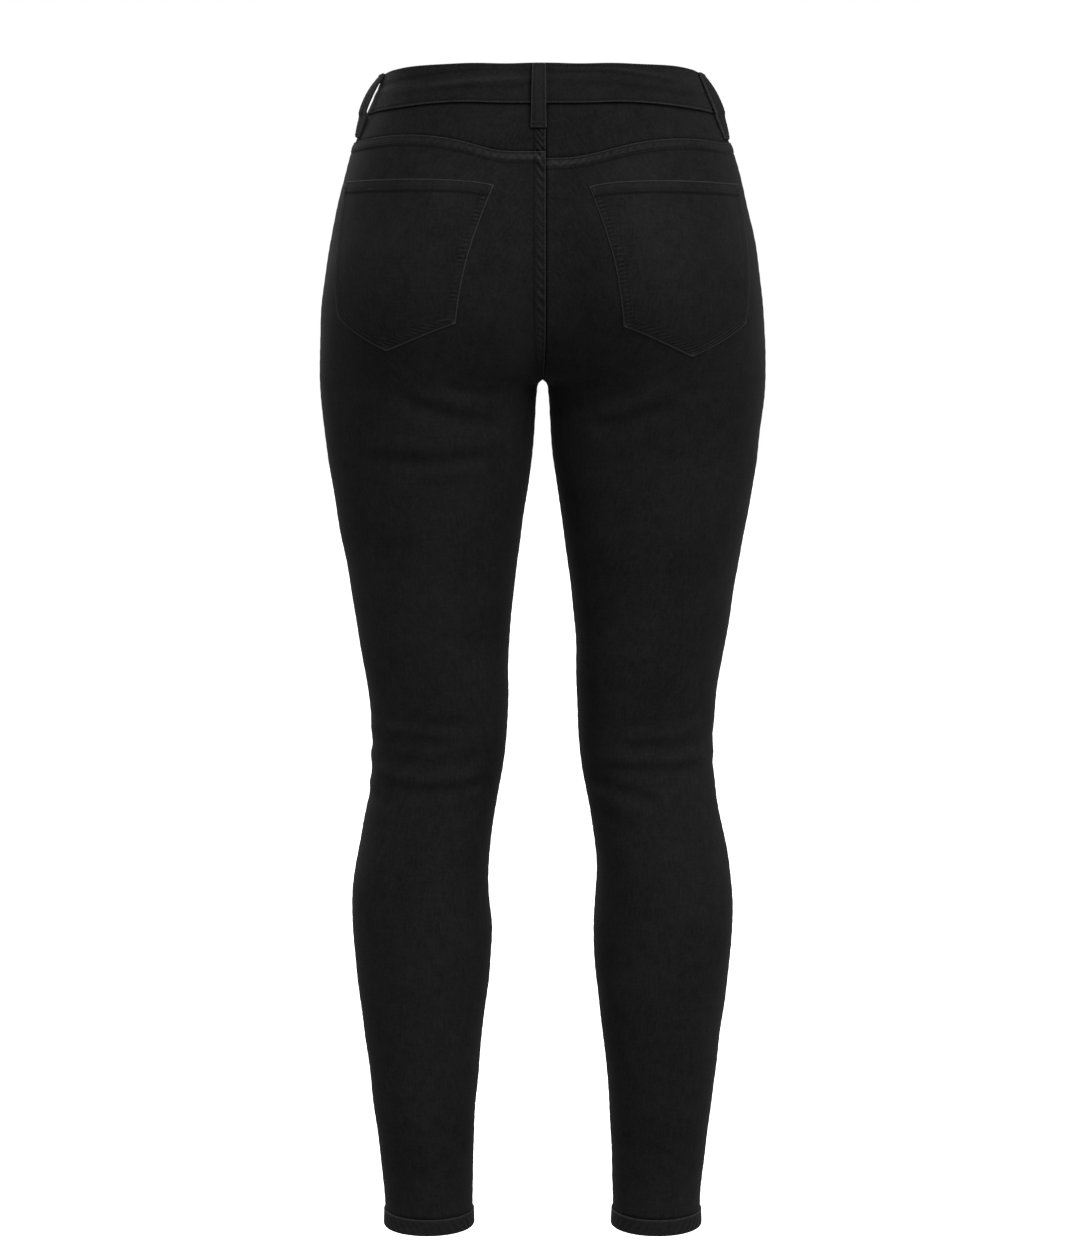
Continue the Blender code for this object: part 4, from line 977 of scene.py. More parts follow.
def pocket_relief(height, girth, row):
    """(rise, colour mark) of a pocket's face above the panel that it lies on: rubbed lighter at
    its edges, pucker crests and corners, with painted shade in the puckers' hollows and the
    stitch dents, and a painted shadow under the hem's fold.
    """
    _, corners, scale = pocket_plan(row)
    flat = np.stack([girth, height], axis=-1) * scale
    mouth, sides = from_edges(flat, corners)
    edge = np.minimum(mouth, sides)
    border = step(sides, POCKET_BORDER + 0.0012, POCKET_BORDER - 0.0012)
    hem = step(mouth, POCKET_HEM + 0.0007, POCKET_HEM - 0.0003)
    dents = sum(bell(edge, r, 0.0007) for r in POCKET_ROWS)
    run = flat[..., 0] * 0.55 + flat[..., 1]
    ropes = puckers(run, sides, 0.0043, 0.6) * bell(sides, 0.0050, 0.0032) * (1 - hem)
    hem_ropes = puckers(flat[..., 0], mouth, 0.0038, 0.5) * bell(mouth, 0.0046, 0.0030) * hem
    high = (POCKET_FACE + 0.00030 * border + 0.00045 * hem - 0.00022 * dents
            + 0.00022 * ropes + 0.00008 * hem_ropes - fallen_edge(edge, 0.0007))
    # Edges and pucker crests rubbed lighter; painted shade in the puckers' hollows.
    wear_and_painted_light = 1.30 * bell(edge, 0.0001, 0.0008) + ropes * np.where(ropes > 0, 0.34, 0.50)
    # Painted shade in the stitch dents, and a painted shadow just under the hem of the mouth.
    wear_and_painted_light = wear_and_painted_light - 0.30 * dents - 0.5 * bell(mouth, POCKET_HEM + 0.0008, 0.0010) + 0.04 * np.maximum(border, hem)
    corner = np.exp(-(np.linalg.norm(flat[..., None, :] - corners, axis=-1) / 0.0035) ** 2).sum(axis=-1)
    return high, wear_and_painted_light + 0.8 * corner


def back_pocket(row):
    """Rows from the point to the corners to the mouth, each from the outer to the inner line."""
    pocket, _, scale = pocket_plan(row)
    edge = np.array([0, 0.0025, 0.006, 0.010, 0.016, 0.024, 0.034, 0.046, 0.058, 0.070, 0.085])
    across = np.concatenate([edge, np.linspace(0.1, 0.9, 64), 1 - edge[::-1]])
    up = np.concatenate([
        [0, 0.004, 0.009, 0.016], np.linspace(0.025, POCKET_CORNER, 26),
        np.linspace(POCKET_CORNER + 0.011, 0.90, 62), np.linspace(0.909, 0.985, 14),
        [0.990, 0.994, 0.997, 0.999, 1.0],
    ])
    tip = np.array([0.0, POCKET_TIP])
    point = np.array(pocket["point"])
    knots = (0, POCKET_CORNER, 1)
    outer = (point - tip, pocket["corner_outer"], pocket["mouth_outer"])
    inner = (point + tip, pocket["corner_inner"], pocket["mouth_inner"])
    height, girth = (
        np.interp(up, knots, [c[axis] for c in outer])[:, None] * (1 - across)
        + np.interp(up, knots, [c[axis] for c in inner])[:, None] * across
        for axis in (0, 1)
    )
    side = 1 if pocket["side"] == "left" else -1
    high, wear_and_painted_light = pocket_relief(height, girth, row)
    return lay_patch(f"back_pocket_{pocket['side']}", height, girth, high, 0.0001, wear_and_painted_light, side,
                     uv=np.stack([girth, height], axis=-1) * scale + 0.0137)


for row in POCKETS:
    made = back_pocket(row)
    print(made.name, "flat corners (mm):", np.round(pocket_plan(row)[1][0] * 1000, 1))

# %% [markdown]
# ## Waistband
# The band is one long strip, folded along its top, that starts at the left front,
# goes round the back and ends under its own start. It is stitched once along each
# edge. Wearing has left a few faint creases along it, so they are listed one by one.

# %% Waistband
BAND_PROUD, BAND_INSIDE = 0.0011, -0.0015
BAND_LIFT = 0.0009 - BAND_INSIDE + 0.0006
BAND_LIFT_ENDS, BAND_OVER, BAND_UNDER = 0.34, -0.12, 4.16
BAND_CREASES = (  # middle along the band in metres, half length, height above its lower edge, rise
    (0.175, 0.060, 0.012, -0.00030), (0.235, 0.070, 0.021, -0.00034), (0.262, 0.050, 0.0165, 0.00026),
    (0.335, 0.080, 0.0235, -0.00030), (0.352, 0.060, 0.0150, 0.00024), (0.372, 0.070, 0.0115, -0.00028),
    (0.455, 0.075, 0.0190, -0.00034), (0.472, 0.060, 0.0225, 0.00024), (0.520, 0.060, 0.0120, -0.00026),
    (0.610, 0.070, 0.0140, -0.00030),
)


def topped(points, height, girth):
    """Points of the band raised towards its top edge, by the square of the share of its height
    times 1.3 mm over the back and up to 3.9 mm near the sides."""
    own, sign = own_girth(0.0, girth)
    share = np.clip((height - WAIST_SEAM) / (BAND_TOP - WAIST_SEAM), 0, 1)
    sides = np.where(sign > 0, 0.0020, 0.0026) * step(own, 1.60, 1.30) * step(own, 0.98, 1.24)
    raised = points.copy()
    raised[..., 2] += (0.0013 * step(own, 0.80, 1.08) + sides) * share**2
    return raised


def band_lift(around):
    """How far the start of the band is lifted clear of its end, which lies under it."""
    return BAND_LIFT * step(around, BAND_LIFT_ENDS, 0.16)


def band_relief(height, around, along):
    """(rise, colour mark) of the band's face above the skin: lighter on the creases' ridges and
    rubbed edges, with painted shade in the creases' grooves and the stitch dents.
    """
    from_bottom = (height - waist_line(around)) * rate_up(height, around)
    from_top = (BAND_TOP - height) * rate_up(height, around)
    dents = bell(from_bottom, 0.0016, 0.0007) + 0.8 * bell(from_top, 0.0018, 0.0007)
    ripple = puckers(along, from_bottom, 0.0037, 0.2)
    edges = bell(from_bottom, 0.002, 0.0028) + bell(from_top, 0.002, 0.0025)
    high = BAND_PROUD - 0.00024 * dents + 0.00008 * ripple * edges
    faded_and_painted_shade = 0.0
    for middle, half, at, rise_of in BAND_CREASES:
        waved = at + 0.0012 * np.sin(along * 23 + middle * 9)
        crease = bell(from_bottom, waved, 0.0016) * bell(along, middle, half)
        high = high + rise_of * crease
        # Lighter on a crease's ridge, and painted shade in its groove.
        faded_and_painted_shade = faded_and_painted_shade + rise_of * crease / 0.0010
    high = high - fallen_edge(from_bottom, 0.0007) - fallen_edge(from_top, 0.0011) + band_lift(around)
    faded_and_painted_shade = faded_and_painted_shade + 0.9 * bell(from_bottom, 0.0003, 0.0009) + 0.3 * bell(from_top, 0.0, 0.0012)
    # Painted shade in the stitch dents.
    return high, faded_and_painted_shade - 0.55 * dents


def waistband():
    """A strip round both halves, from the over end at the front to the under end."""
    edge = np.array([0, 0.00015, 0.0004, 0.0008, 0.0013, 0.0018, 0.0024, 0.0032])
    inner_rows = np.linspace(0.0042, BAND_TOP - WAIST_SEAM - 0.0042, 14)
    up = np.concatenate([edge, inner_rows, (BAND_TOP - WAIST_SEAM) - edge[::-1]])
    height = WAIST_SEAM + HAIR + up * (1 - HAIR / (BAND_TOP - WAIST_SEAM))
    ends = np.array([0, 0.001, 0.0025, 0.005, 0.009])
    around = np.linspace(BAND_OVER + 0.016, BAND_UNDER - 0.016, 430)
    around = np.concatenate([BAND_OVER + ends, around, BAND_UNDER - ends[::-1]])
    height, around = np.meshgrid(height, around, indexing="ij")
    height = bent(height, around, low="waist")
    points = topped(skin(height, around)[0], height, around)
    along = running_length(points, 1)
    high, wear_and_painted_light = band_relief(height, around, along)
    end = np.minimum(along, along[:, -1:] - along)
    high = high - fallen_edge(end, 0.0006)
    inside = BAND_INSIDE + band_lift(around)
    outer, inner = (points + skin(height, around)[1] * d[..., None] for d in (high, inside))
    uv = np.stack([run_up(height, around), along], axis=-1)
    made = make_wall("waistband_cloth", outer, inner, uv, wear_and_painted_light + 0.6 * bell(end, 0, 0.001), "black denim")
    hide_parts("waistband")
    WALLS["waistband"] = made
    return made, along


BAND, BAND_ALONG = waistband()
print(BAND.name, "length:", round(float(BAND_ALONG[11, -1]), 3), "m")

# %% [markdown]
# ## Hems
# A hem is turned twice and stitched once near its top. The needle pulls the layers
# out of line, so a washed hem twists into slanted ropes. It is a closed ring, and
# its last column shares points with its first.

# %% Hems
HEM_ROW = 0.0014


def hem_relief(height, girth):
    """(rise, colour mark) of a hem: proud of the leg, with ropes that lean; rubbed lighter at
    its folded edges and on the ropes' crests, with painted shade in the hollows between them.
    """
    below_top, above_bottom = HEM_TOP - height, height - HEM_BOTTOM
    around = girth * np.where(girth > 1, back_length(height), front_length(height))
    ropes = puckers(around, above_bottom, 0.0070, 0.7) * bell(above_bottom, 0.0065, 0.0050)
    ropes = ropes * (0.62 + 0.38 * np.sin(around * 57))
    high = (0.0016 - 0.00024 * bell(below_top, HEM_ROW, 0.0007) + 0.00022 * ropes
            + 0.00025 * bell(above_bottom, 0.0028, 0.002))
    high = high - fallen_edge(below_top, 0.0006) - fallen_edge(above_bottom, 0.0011)
    wear_and_painted_light = 0.7 * bell(below_top, 0.0002, 0.0009) + 0.7 * bell(above_bottom, 0.0, 0.0013)
    # Rubbed lighter on the ropes' crests, with stronger painted shade in their hollows.
    return high, wear_and_painted_light + 0.24 * np.where(ropes > 0, ropes, 1.3 * ropes) + 0.08


def hem(side, label):
    """A ring round the ankle."""
    height = HEM_BOTTOM + np.array([
        0, 0.00015, 0.0004, 0.0009, 0.0016, 0.0026, 0.0038, 0.0051, 0.0064, 0.0077,
        0.0090, 0.0101, 0.0112, 0.0122, 0.0131, 0.0137, 0.0141, 0.01438, 0.01447,
    ])
    girth = np.linspace(0, 2, 181)
    height, girth = np.meshgrid(height, girth, indexing="ij")
    high, wear_and_painted_light = hem_relief(height, girth)
    around = np.where(girth > 1, (girth - 1) * back_length(height), (girth - 1) * front_length(height))
    return lay_patch(f"hem_{label}", height, girth, high, -0.0011, wear_and_painted_light, side,
                     uv=np.stack([around, height], axis=-1), closed=True)


for side, label in ((1, "left"), (-1, "right")):
    print(hem(side, label).name)

# %% [markdown]
# ## Belt loops
# A belt loop is a strip folded in three, sewn down at both ends. Between its ends it
# stands away from the band, which the side loops show plainly from behind. Its grid
# runs across its width, and from its lower end to the top of the band.

# %% Belt loops
LOOP_COLUMNS = ("name", "side", "girth", "bottom", "bow", "turn")
LOOPS = (
    ("belt_loop_back", 1, 1.984, -0.0268, 0.0030, 0.0),
    ("belt_loop_side_left", 1, 1.100, -0.0345, 0.0042, 0.3),
    ("belt_loop_side_right", -1, 1.135, -0.0365, 0.0028, 0.9),
    ("belt_loop_front_left", 1, 0.480, -0.0380, 0.0040, 0.0),
    ("belt_loop_front_right", -1, 0.480, -0.0380, 0.0036, 0.0),
)
LOOP_WIDTH, LOOP_THICKNESS, LOOP_STITCH, LOOP_TOP = 0.0121, 0.0026, 0.0042, BAND_TOP - 0.0012
BOW_UP, BOW_SHARE = np.array((
    (0.00, 0.12, 0.25, 0.40, 0.58, 0.76, 0.90, 1.00), (0.00, 0.36, 0.64, 0.92, 1.00, 0.80, 0.40, 0.00),
))


def loop_face(row, up, across):
    """Points, normals and colour mark of a loop's outer face at up (0 to 1) and across (metres
    from its middle line): the skin, the band's thickness, the bow and a rounded strip,
    which is spread a little at its lower end. Both ends are turned under, and the bow
    may be greater at one edge than at the other. The mark is lighter at the rubbed edges
    and ends, with painted shade in the stitch dents."""
    loop = dict(zip(LOOP_COLUMNS, row))
    height = loop["bottom"] + (LOOP_TOP - loop["bottom"]) * up
    length = back_length(height) if loop["girth"] > 1 else front_length(height)
    spread = 1 + 0.07 * step(up, 0.16, 0.03) - 0.07 * step(up, 0.10, 0.90)
    girth = loop["girth"] + across * spread / length
    points = topped(skin(height, girth)[0], height, girth)
    _, middle = skin(height, loop["girth"] + 0 * girth)
    ground = 0.0009 if loop["name"] == "belt_loop_back" else 0.0002
    stand = ground + (BAND_PROUD + 0.0002 - ground) * step(height, WAIST_SEAM - 0.004, WAIST_SEAM)
    bow = loop["bow"] * smooth(up.ravel(), BOW_UP, BOW_SHARE).reshape(up.shape)
    bow = bow * (1 - loop["turn"] * across / (LOOP_WIDTH / 2))
    edge = LOOP_WIDTH / 2 - np.abs(across)
    run = (height - loop["bottom"]) * rate_up(height, girth)
    ends = np.minimum(run, (LOOP_TOP - height) * rate_up(height, girth))
    face = (stand + bow + LOOP_THICKNESS - fallen_edge(edge, 0.0008) - 0.6 * fallen_edge(ends, 0.0009)
            - 0.00022 * bell(np.abs(across), LOOP_STITCH, 0.0006)
            + 0.00010 * puckers(run, across, 0.0034, 0.3) * bell(np.abs(across), 0.0045, 0.002)
            + 0.00018 * bell(across, 0, 0.0022))
    mirror = np.array([loop["side"], 1.0, 1.0])
    # Rubbed edges and ends lighter; painted shade in the stitch dents.
    wear_and_painted_light = (0.7 * bell(edge, 0.0002, 0.0008) + 0.5 * bell(ends, 0.0, 0.0014) + 0.10
            - 0.35 * bell(np.abs(across), LOOP_STITCH, 0.0007))
    outer = (points + middle * face[..., None]) * mirror
    turned = 0.0022 * (step(up, 0.42, 0.30) + step(up, 0.84, 0.92))
    inner = (points + middle * (stand + np.maximum(bow - turned, 0))[..., None]) * mirror
    return outer, inner, middle * mirror, wear_and_painted_light, run


def belt_loop(row):
    """The strip as a wall."""
    half = np.array([
        0, 0.0012, 0.0024, 0.0032, 0.0038, 0.0042, 0.0046, 0.0050, 0.0054, 0.0057, 0.0059, 0.00605,
    ])
    across = np.concatenate([-half[:0:-1], half])
    up = np.concatenate([
        [0, 0.003, 0.008, 0.016, 0.026], np.linspace(0.04, 0.96, 46), [0.974, 0.984, 0.992, 0.997, 1.0],
    ])
    up, across = np.meshgrid(up, across, indexing="ij")
    outer, inner, _, wear_and_painted_light, run = loop_face(row, up, across)
    order = slice(None, None, row[1])
    made = make_wall(f"{row[0]}_cloth", outer[:, order], inner[:, order],
                     np.stack([across, run], axis=-1)[:, order], wear_and_painted_light[:, order], "black denim")
    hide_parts(row[0])
    WALLS[row[0]] = made
    return made


for row in LOOPS:
    print(belt_loop(row).name)

# %% [markdown]
# ## One stitch, thousands of times
# Topstitching could be a texture, but close by it is thread lying in dents. One
# stitch is a short capsule: five rings of six points along an arch, thick in the
# middle. All stitches of a piece are computed as one array and joined in one mesh,
# because separate objects would be slow.

# %% Thread
STITCH_LENGTH, STITCH_PITCH, THREAD = 0.0023, 0.0030, 0.00027
ALONG_STITCH = np.array([0.0, 0.14, 0.5, 0.86, 1.0])
STITCH_SHAPE = np.array([0.35, 0.9, 1.0, 0.9, 0.35])
STITCH_ARCH = np.array([-0.9, 0.1, 0.55, 0.1, -0.9])
SIDES_OF_THREAD = 6


def lay_thread(name, starts, ends, outward, thickness=THREAD):
    """Every stitch at once: a ring's centre is start + s * (end - start) + arch(s) * out,
    and its points stand round it by cos * sideways + sin * out, times the thread's shape."""
    along = ends - starts
    forward = along / np.linalg.norm(along, axis=1, keepdims=True)
    sideways = np.cross(outward, forward)
    sideways /= np.linalg.norm(sideways, axis=1, keepdims=True)
    outward = np.cross(forward, sideways)
    turn = np.arange(SIDES_OF_THREAD) * FULL_TURN / SIDES_OF_THREAD
    centre = (starts[:, None] + along[:, None] * ALONG_STITCH[None, :, None]
              + outward[:, None] * (thickness * STITCH_ARCH)[None, :, None])
    rim = (np.cos(turn)[None, None, :, None] * sideways[:, None, None]
           + 0.85 * np.sin(turn)[None, None, :, None] * outward[:, None, None])
    points = centre[:, :, None] + rim * (thickness * STITCH_SHAPE)[None, :, None, None]
    count, rings_of, sides_of = points.shape[:3]
    number = np.arange(count * rings_of * sides_of).reshape(count, rings_of, sides_of)
    after = np.roll(number, -1, axis=2)
    cells = quads(number[:, :-1], number[:, 1:], after[:, 1:], after[:, :-1])
    caps = np.concatenate([
        quads(*(number[:, 0, (a + k) % sides_of] for k in (0, 1, 2, 3))) for a in (0, 3)
    ])
    tail = np.concatenate([
        quads(*(number[:, -1, (a + k) % sides_of] for k in (3, 2, 1, 0))) for a in (0, 3)
    ])
    s = np.broadcast_to((ALONG_STITCH * STITCH_LENGTH)[None, :, None], number.shape)
    v = np.broadcast_to((np.arange(sides_of) * thickness)[None, None, :], number.shape)
    flat = np.stack([s, v], axis=-1).reshape(-1, 2)
    uv = flat[np.concatenate([cells, caps, tail]).ravel()].reshape(-1, 4, 2)
    wrap = np.zeros(number.shape, bool)
    wrap[:, :, -1] = True
    last = wrap[:, :-1].ravel()
    uv[: len(cells)][last, 2:, 1] += sides_of * thickness
    made = put_in_scene(name, points.reshape(-1, 3), np.concatenate([cells, caps, tail]), uv.reshape(-1, 2),
                        np.zeros(points[..., 0].size), "black thread")
    return made


def spaced_stitches(points, normals, skip=0.0):
    """Starts, ends and normals of stitches at an even pitch along a line of points."""
    along = np.concatenate([[0], np.cumsum(np.linalg.norm(np.diff(points, axis=0), axis=1))])
    count = int((along[-1] - 2 * skip) // STITCH_PITCH)
    spare = (along[-1] - count * STITCH_PITCH) / 2
    first = spare + np.arange(count) * STITCH_PITCH + (STITCH_PITCH - STITCH_LENGTH) / 2
    first = first + 0.00012 * np.sin(np.arange(count) * 2.399)

    def at(distance, values):
        return np.stack([np.interp(distance, along, values[:, k]) for k in range(3)], axis=1)

    return at(first, points), at(first + STITCH_LENGTH, points), at(first + STITCH_LENGTH / 2, normals)


def sew(name, rows_of_stitches):
    """One mesh from several rows, each (starts, ends, normals)."""
    starts, ends, normals = (np.concatenate(part) for part in zip(*rows_of_stitches))
    made = lay_thread(name, starts, ends, normals)
    print(name, "stitches:", len(starts))
    return made


# %% [markdown]
# ## Sewing the back
# The rows follow the seams at the distances that dented the cloth. Each stitch
# takes its height from the same relief as the panel, so it lies in its dent and
# follows every pucker.

# %% Stitches of the yoke seam and the centre seam
def on_face(height, girth, side, relief):
    """Points and normals of a line on the face that a relief function describes."""
    return lifted(height, girth, relief(height, girth, side)[0], side)


def across_yoke(side, below):
    """A row at a distance below the yoke seam, from the outseam to the centre."""
    girth = np.linspace(1.012, 2.0 + (side > 0) * 0.010, 300)
    height = yoke_line(girth, side) - below / rate_up(YOKE_SEAM + 0 * girth, girth)
    return spaced_stitches(*on_face(height, girth, side, back_relief))


def down_centre(inwards, top, bottom, relief):
    """A row beside the edge of the left panel, which laps over the right one."""
    height = np.linspace(top, bottom, 400)
    girth = 2 + (CENTRE_SHIFT * above_crotch(height) - inwards) / back_length(height)
    return spaced_stitches(*on_face(height, girth, 1, relief))


back_rows = [across_yoke(side, below) for side in (1, -1) for below in YOKE_ROWS]
MEET = float(yoke_line(1.99))
back_rows += [down_centre(row, MEET - 0.0004, CROTCH + 0.008, back_relief) for row in CENTRE_ROWS]
back_rows += [down_centre(row, WAIST_SEAM - 0.002, MEET + 0.0004, yoke_relief) for row in CENTRE_ROWS]
sew("back_seam_stitches", back_rows)

# %% [markdown]
# ## Sewing the pockets
# A pocket has two rows all round its sides, two along its hemmed mouth, and a bar
# tack, a few tight stitches side by side, at each end of the mouth.

# %% Stitches of the back pockets
def drawn_in(corners, distance):
    """The outline moved inwards: each new corner is where two neighbouring edges, both
    moved in by the distance, cross."""
    before, after = corners - np.roll(corners, 1, axis=0), np.roll(corners, -1, axis=0) - corners
    a, b = (v / np.linalg.norm(v, axis=1, keepdims=True) for v in (before, after))
    inward_a, inward_b = np.stack([a[:, 1], -a[:, 0]], 1), np.stack([b[:, 1], -b[:, 0]], 1)
    middle = inward_a + inward_b
    return corners + distance * middle / (1 + np.sum(inward_a * inward_b, axis=1, keepdims=True))


def pocket_line(row, flat):
    """A flat line on the pocket, brought back on to its face."""
    pocket, _, scale = pocket_plan(row)
    girth, height = (flat / scale).T
    side = 1 if pocket["side"] == "left" else -1
    return lifted(height, girth, pocket_relief(height, girth, row)[0], side)


def straight(a, b, count=90):
    """Points along a straight line."""
    return a + (b - a) * np.linspace(0, 1, count)[:, None]


def bar_tack(line, length, count=13):
    """Stitches side by side across a short line: each spans the bar's width."""
    points, normals = line
    pick = np.linspace(0, len(points) - 1, count).astype(int)
    forward = points[-1] - points[0]
    forward = forward / np.linalg.norm(forward)
    side_step = np.cross(normals[pick], forward)
    middle = points[pick] + normals[pick] * THREAD * 0.6
    slant = forward * 0.0003
    return middle - side_step * length / 2 - slant, middle + side_step * length / 2 + slant, normals[pick]


for row in POCKETS:
    _, corners, _ = pocket_plan(row)
    lines = []
    for distance in POCKET_ROWS:
        inset = drawn_in(corners, distance)
        for k in (1, 2, 3, 4):
            lines.append(spaced_stitches(*pocket_line(row, straight(inset[k], inset[(k + 1) % 5]))))
        top_in = drawn_in(corners, POCKET_ROWS[0])
        lift_down = np.array([0.0, -(distance - POCKET_ROWS[0])])
        lines.append(spaced_stitches(*pocket_line(row, straight(top_in[0] + lift_down, top_in[1] + lift_down))))
    inset = drawn_in(corners, 0.0026)
    for k, towards in ((0, 4), (1, 2)):
        end = inset[k] + (inset[towards] - inset[k]) / np.linalg.norm(inset[towards] - inset[k]) * 0.0065
        lines.append(bar_tack(pocket_line(row, straight(inset[k], end, 30)), 0.0022))
    sew(f"pocket_stitches_{row[0]}", lines)

# %% [markdown]
# ## Sewing the band and the loops
# The same three helpers finish the rest: a line on a face, stitches at a pitch, and
# bar tacks where the cloth is pulled hardest.

# %% Stitches of the waistband and the loops
def band_line(from_edge, top):
    """A row along the band, a little inside its lower or upper edge."""
    around = np.linspace(BAND_OVER + 0.012, BAND_UNDER - 0.30, 900)
    along = np.interp(around, np.linspace(BAND_OVER, BAND_UNDER, 500),
                      np.interp(np.linspace(0, 1, 500), np.linspace(0, 1, BAND_ALONG.shape[1]), BAND_ALONG[11]))
    edge = BAND_TOP + 0 * around if top else waist_line(around)
    height = edge + (-1 if top else 1) * from_edge / rate_up(edge, around)
    high, _ = band_relief(height, around, along)
    points, normals = skin(height, around)
    return topped(points, height, around) + normals * high[:, None], normals


band_rows = band_line(0.0016, False), band_line(0.0018, True)
sew("waistband_stitches", [spaced_stitches(*row) for row in band_rows])

loop_rows = []
for row in LOOPS:
    for across in (-LOOP_STITCH, LOOP_STITCH):
        up = np.linspace(0.02, 0.98, 120)[:, None]
        outer, _, normals, _, _ = loop_face(row, up, across + 0 * up)
        loop_rows.append(spaced_stitches(outer[:, 0], normals[:, 0]))
    for at in (0.045, 0.965):
        across = np.linspace(-0.0046, 0.0046, 40)[None, :]
        outer, _, normals, _, _ = loop_face(row, at + 0 * across, across)
        loop_rows.append(bar_tack((outer[0], normals[0]), 0.0020, 17))
sew("loop_stitches", loop_rows)

# %% [markdown]
# ## Sewing the hems
# One row goes round each ankle, just under the hem's folded top. It rides over the
# ropes, because it is laid on the same relief.

# %% Stitches of the hems
hem_rows = []
for side in (1, -1):
    girth = np.linspace(0, 2, 400)
    height = HEM_TOP - HEM_ROW + 0 * girth
    hem_rows.append(spaced_stitches(*lifted(height, girth, hem_relief(height, girth)[0], side)))
sew("hem_stitches", hem_rows)

# %% [markdown]
# ## Sewing the front
# Two rows follow each pocket's mouth, two draw the J of the fly, and two go on down
# the centre seam below it. A bar tack closes the fly where the pull is greatest.

# %% Stitches of the front
def mouth_line(side, inwards):
    """The mouth's arc, moved inwards along the flat cloth."""
    height = np.linspace(WAIST_SEAM - MOUTH_DEPTH + 0.0012, WAIST_SEAM - 0.0012, 200)
    girth = mouth_girth(height)
    flat = np.stack([girth * front_length(height), run_up(height, girth)], axis=1)
    along = np.gradient(flat, axis=0)
    along /= np.linalg.norm(along, axis=1, keepdims=True)
    flat = flat + inwards * np.stack([-along[:, 1], along[:, 0]], axis=1)
    height = height + (flat[:, 1] - run_up(height, girth)) / rate_up(height, girth)
    keep = height < WAIST_SEAM - 0.0010
    height, flat = height[keep], flat[keep]
    return on_face(height, flat[:, 0] / front_length(height), side, front_relief)


def front_line(distance, top, bottom):
    """A row beside the left front panel's edge, below the fly."""
    height = np.linspace(top, bottom, 200)
    girth = (distance - left_lap(height)) / front_length(height)
    return on_face(height, girth, 1, front_relief)


def j_line(inwards):
    """The J: down the left panel, then round to the bottom of the fly."""
    bend = np.linspace(0, math.pi / 2 * 0.97, 120)
    width, depth = J_WIDTH - inwards, J_BEND - J_BOTTOM - inwards
    height = np.concatenate([np.linspace(WAIST_SEAM - 0.001, J_BEND, 100)[:-1], J_BEND - depth * np.sin(bend)])
    reach = np.concatenate([np.full(99, width), width * np.cos(bend)])
    return on_face(height, reach / front_length(height), 1, front_relief)


front_rows = [spaced_stitches(*mouth_line(side, row)) for side in (1, -1) for row in MOUTH_STITCHES]
front_rows += [spaced_stitches(*j_line(inwards)) for inwards in (0.0012, 0.0072)]
front_rows += [spaced_stitches(*front_line(row, J_BOTTOM - 0.003, CROTCH + 0.008)) for row in CENTRE_ROWS]
front_rows += [spaced_stitches(*front_line(0.0016, WAIST_SEAM - 0.001, -0.112))]
tack_height = np.linspace(J_BOTTOM - 0.002, J_BOTTOM + 0.006, 30)
front_rows.append(bar_tack(on_face(tack_height, 0.0052 / front_length(tack_height), 1, front_relief), 0.0022))
sew("front_stitches", front_rows)

# %% [markdown]
# ## The button
# A shank button is turned, so its shape is one profile carried round an axis. The
# axis points straight out of the band. Its plain crown has a shallow dish and a
# raised rim.

# %% Waist button
BUTTON_HEIGHT = 0.0005
BUTTON_SEAT = 0.0009 + BAND_LIFT + 0.0006
BUTTON_PROFILE = np.array((
    (0.0028, -0.0008), (0.0030, 0.0000), (0.0034, 0.0013), (0.0060, 0.0016), (0.0080, 0.0018),
    (0.00845, 0.0022), (0.0085, 0.0027), (0.0081, 0.0033), (0.0074, 0.0037), (0.0066, 0.00375),
    (0.0060, 0.0035), (0.0055, 0.00325), (0.0046, 0.0033), (0.0030, 0.0036), (0.0014, 0.0038),
    (0.0003, 0.00385),
))


def turned_button():
    """Profile (radius, stand) carried round: seat + stand * out + radius * (cos * across + sin * up)."""
    points, normals = skin(np.array([BUTTON_HEIGHT]), np.array([0.0]))
    flat = np.array([0.0, 1.0, 1.0])
    out = normals[0] * flat / np.linalg.norm(normals[0] * flat)
    seat = points[0] * flat + out * BUTTON_SEAT
    across, up = np.array([1.0, 0.0, 0.0]), np.cross([1.0, 0.0, 0.0], out)
    knots = np.arange(len(BUTTON_PROFILE), dtype=float)
    radius, stand = smooth(np.linspace(0, knots[-1], 64), knots, BUTTON_PROFILE).T
    turn = np.linspace(0, FULL_TURN, 73)
    circle = np.cos(turn)[:, None] * across + np.sin(turn)[:, None] * up
    grid = seat + out * stand[:, None, None] + circle[None] * radius[:, None, None]
    rows, cols = grid.shape[0], grid.shape[1] - 1
    number = np.arange(rows * cols).reshape(rows, cols)
    number = np.concatenate([number, number[:, :1]], axis=1)
    cells = quads(number[:-1, :-1], number[:-1, 1:], number[1:, 1:], number[1:, :-1])
    low, high = rows * cols, rows * cols + 1
    fans = [(low, number[0, c + 1], number[0, c]) for c in range(cols)]
    fans += [(high, number[-1, c], number[-1, c + 1]) for c in range(cols)]
    points = np.concatenate([grid[:, :-1].reshape(-1, 3), [seat + out * stand[0], seat + out * stand[-1]]])
    faces = [tuple(int(i) for i in face) for face in cells] + [tuple(int(i) for i in fan) for fan in fans]
    mesh = bpy.data.meshes.new("waist_button_metal")
    mesh.from_pydata(points, [], faces)
    mesh.shade_smooth()
    mesh.materials.append(bpy.data.materials.new("dark metal"))
    made = bpy.data.objects.new("waist_button_metal", mesh)
    bpy.context.scene.collection.objects.link(made)
    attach(made, BODY)
    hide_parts("waist_button")
    return made


